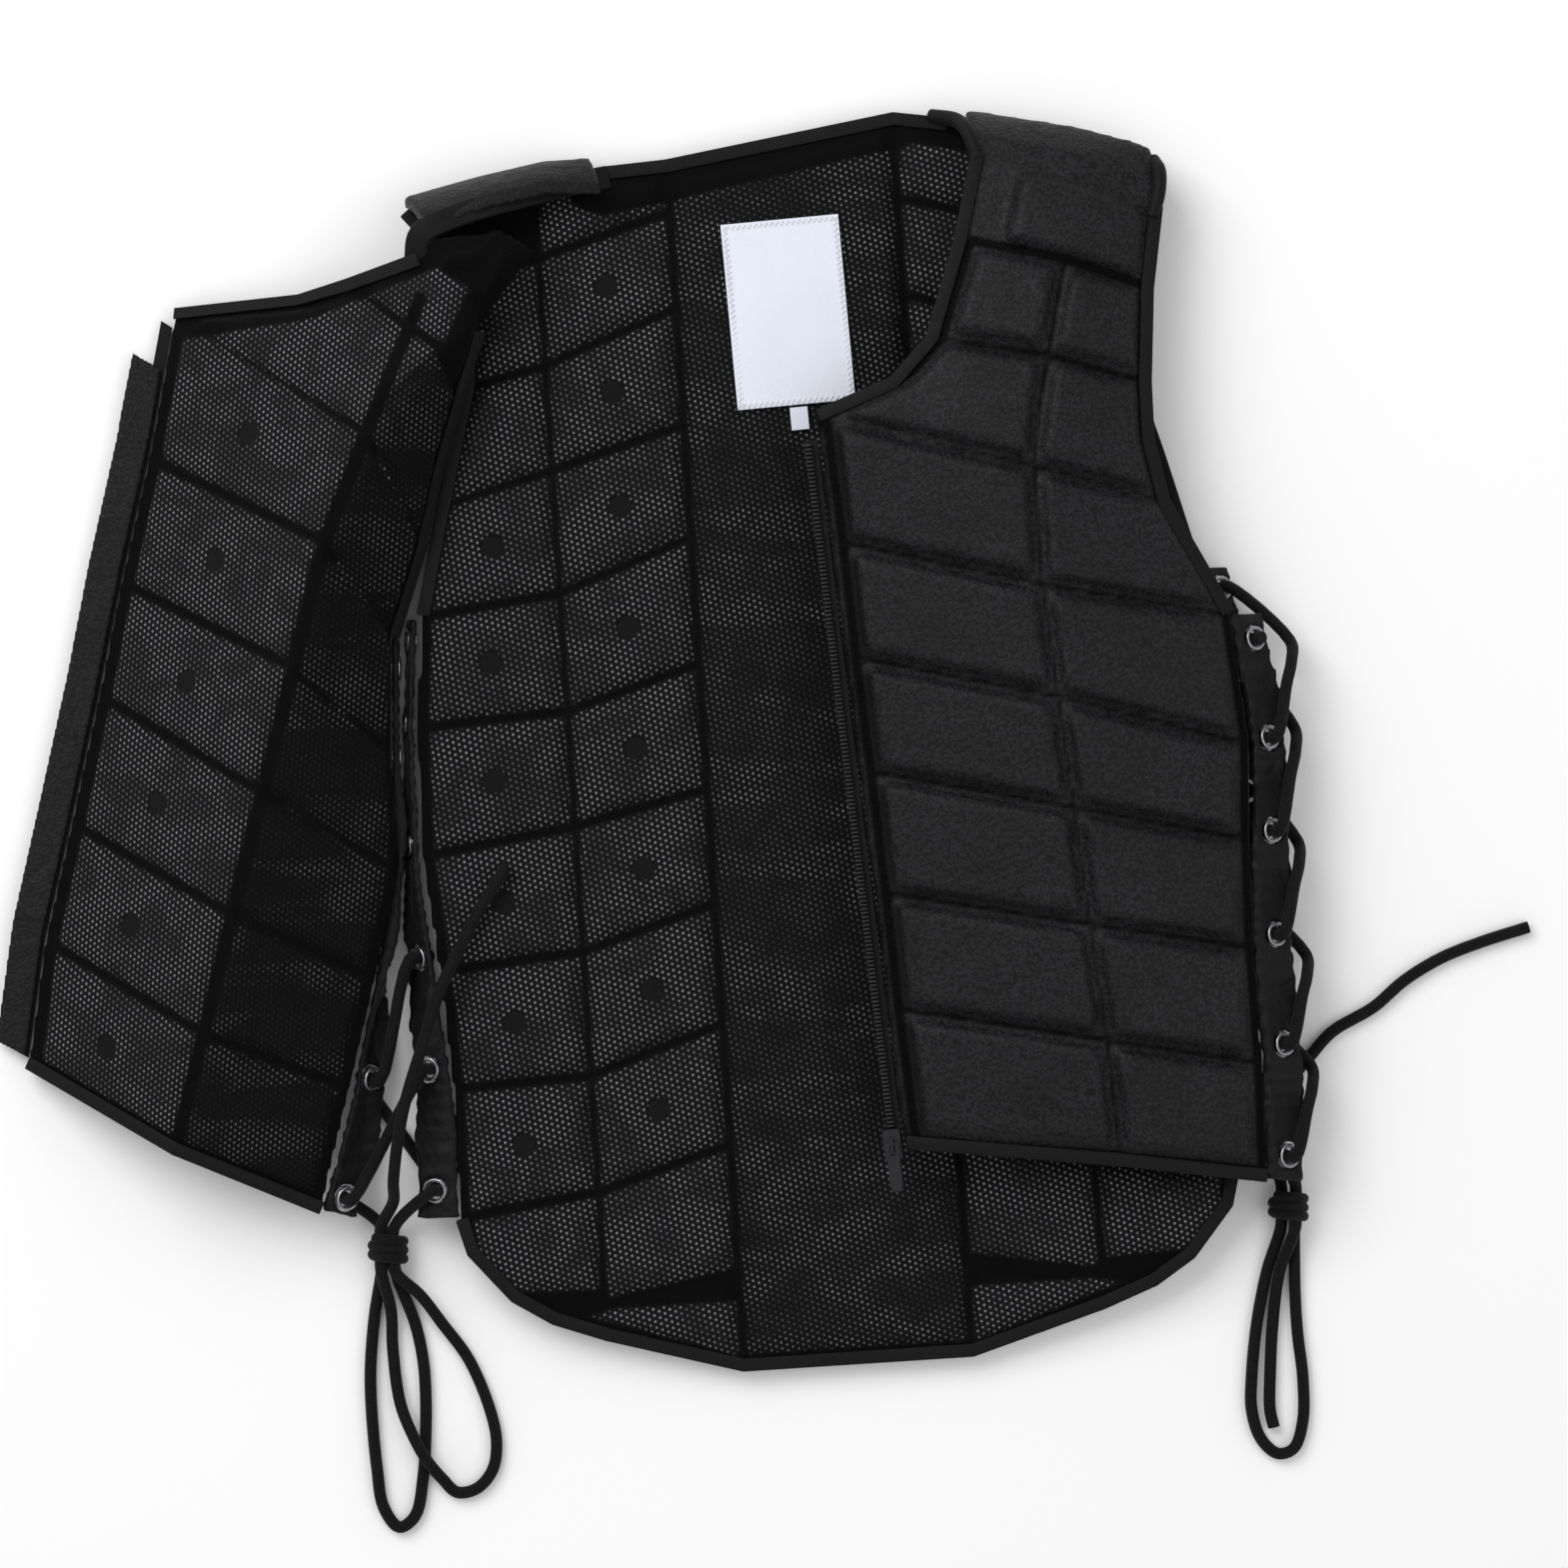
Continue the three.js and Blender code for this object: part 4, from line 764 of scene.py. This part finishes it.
dark_metal, tree, surface = new_material("black_metal", (0.040, 0.040, 0.044), 0.34, metallic=1.0)
tree.links.new(bump(tree, noise(tree, object_place(tree), 1200.0), 0.05 * mm, 0.4), surface.inputs["Normal"])
for node in ("zipper_slider", "zipper_pull"):
    frame["nodes"][node].data.materials.clear()
    frame["nodes"][node].data.materials.append(dark_metal)

# The open edge has a flap of the outer cloth, doubled and sewn flat, which covers the zip when the vest is
# closed. It is a little blacker than the pads, as the strap is.
flap_voxel = 0.8 * mm
flap_rounds = 2
flap_black = 0.45
flap, tops = soft_copy("zip_flap", "placket_flap", flap_voxel, flap_rounds)
measure_pads(flap, tops)
keep_values(flap, "welt", np.full(len(flap.data.vertices), flap_black))
flap.data.materials.append(satin_cloth)
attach(flap, "vest")
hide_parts("placket_flap")

# Two woven white labels are sewn inside the neck, both blank. The large one is held by a zigzag of white
# thread all round, and lies in slight waves on the lining.
label_ripple = 0.25 * mm
ripple_rates = (130, 95)
label_thickness = 0.5 * mm
stitch_step = 1.1 * mm
stitch_inset = 0.5 * mm
stitch_width = 1.9 * mm
stitch_lift = 0.75 * mm
stitch_radius = 0.24 * mm
label_cloth, tree, surface = new_material("label_weave", (0.70, 0.72, 0.80), 0.8, shine=0.1)
threads = wire(tree, "ShaderNodeTexWave", {"wave_type": "BANDS"}, Vector=object_place(tree), Scale=420.0,
               Distortion=1.0).outputs["Fac"]
shade = noise(tree, object_place(tree), 50.0)
label_tone = blend_colour(tree, shade, (0.66, 0.685, 0.78), (0.73, 0.75, 0.84))
tree.links.new(label_tone, surface.inputs["Base Color"])
tree.links.new(bump(tree, threads, 0.1 * mm, 0.5), surface.inputs["Normal"])
thread_white, tree, surface = new_material("label_thread", (0.85, 0.85, 0.86), 0.6, sheen=0.3)
tree.links.new(bump(tree, noise(tree, object_place(tree), 2500.0), 0.1 * mm, 0.5), surface.inputs["Normal"])
label_turn = Matrix.Rotation(math.radians(5.4), 4, "Z")
labels = (("blank_label", "care_label", 47 * mm, 74 * mm), ("bare_size_tag", "size_tag", 7 * mm, 9 * mm))
for name, node, width, height in labels:
    low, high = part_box(node)
    centre = (low + high) / 2
    bpy.ops.object.select_all(action="DESELECT")
    bpy.ops.mesh.primitive_grid_add(x_subdivisions=28, y_subdivisions=40, size=1)
    label = bpy.context.object
    label.name = name
    bpy.ops.object.mode_set(mode="EDIT")
    bpy.ops.mesh.select_all(action="SELECT")
    bpy.ops.transform.resize(value=(width, height, 1))
    bpy.ops.object.mode_set(mode="OBJECT")
    for point in label.data.vertices:
        ripple = math.sin(point.co.x * ripple_rates[0] + 1) * math.sin(point.co.y * ripple_rates[1])
        point.co.z = label_ripple * (ripple + 1)
    thicken = label.modifiers.new("thickness", "SOLIDIFY")
    thicken.thickness = label_thickness
    thicken.offset = 0
    bpy.ops.object.modifier_apply(modifier=thicken.name)
    bpy.ops.object.shade_smooth_by_angle(angle=math.radians(40))
    label.data.transform(Matrix.Translation(centre) @ label_turn)
    label.data.materials.append(label_cloth)
    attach(label, "vest")
    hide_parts(node)
    if node == "size_tag":
        continue
    line = []
    corners = [Vector((-width / 2, -height / 2, 0)), Vector((width / 2, -height / 2, 0)),
               Vector((width / 2, height / 2, 0)), Vector((-width / 2, height / 2, 0))]
    for a, b in zip(corners, corners[1:] + corners[:1]):
        steps = round((b - a).length / stitch_step)
        inward = (-(a + b) / 2).normalized()
        for k in range(steps):
            inset = inward * (stitch_inset + stitch_width * (k % 2))
            line.append(a.lerp(b, k / steps) + inset + Vector((0, 0, stitch_lift)))
    route = [Matrix.Translation(centre) @ label_turn @ p for p in line + line[:1]]
    thread = cord_curve("label_stitching", route, stitch_radius)
    thread.data.bevel_resolution = 1
    thread = as_mesh(thread)
    thread.data.materials.append(thread_white)
    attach(thread, "vest")

# The vest lies on a pale painted floor, in soft studio light: a large lamp at the upper left, a weaker one
# at the right, and an even light from all round.
lamps = (((-1.0, 1.2, 1.8), 1.6, 36), ((1.4, -0.4, 2.2), 2.0, 12))
even_light = 0.62
floor_paint, tree, surface = new_material("white_floor", (0.88, 0.88, 0.88), 0.95, shine=0.1)
tree.links.new(bump(tree, noise(tree, object_place(tree), 30.0), 0.1 * mm, 0.1), surface.inputs["Normal"])
bpy.ops.object.select_all(action="DESELECT")
bpy.ops.mesh.primitive_plane_add(size=8)
floor = bpy.context.object
floor.name = "studio_floor"
floor.data.materials.append(floor_paint)
for place, size, power in lamps:
    bpy.ops.object.light_add(type="AREA", location=place)
    lamp = bpy.context.object
    lamp.data.size = size
    lamp.data.energy = power
    lamp.rotation_euler = (-Vector(place)).to_track_quat("-Z", "Y").to_euler()
world = bpy.data.worlds.new("studio")
bpy.context.scene.world = world
world.use_nodes = True
world.node_tree.nodes["Background"].inputs["Color"].default_value = (1, 1, 1, 1)
world.node_tree.nodes["Background"].inputs["Strength"].default_value = even_light
bpy.context.scene.view_settings.view_transform = "Standard"
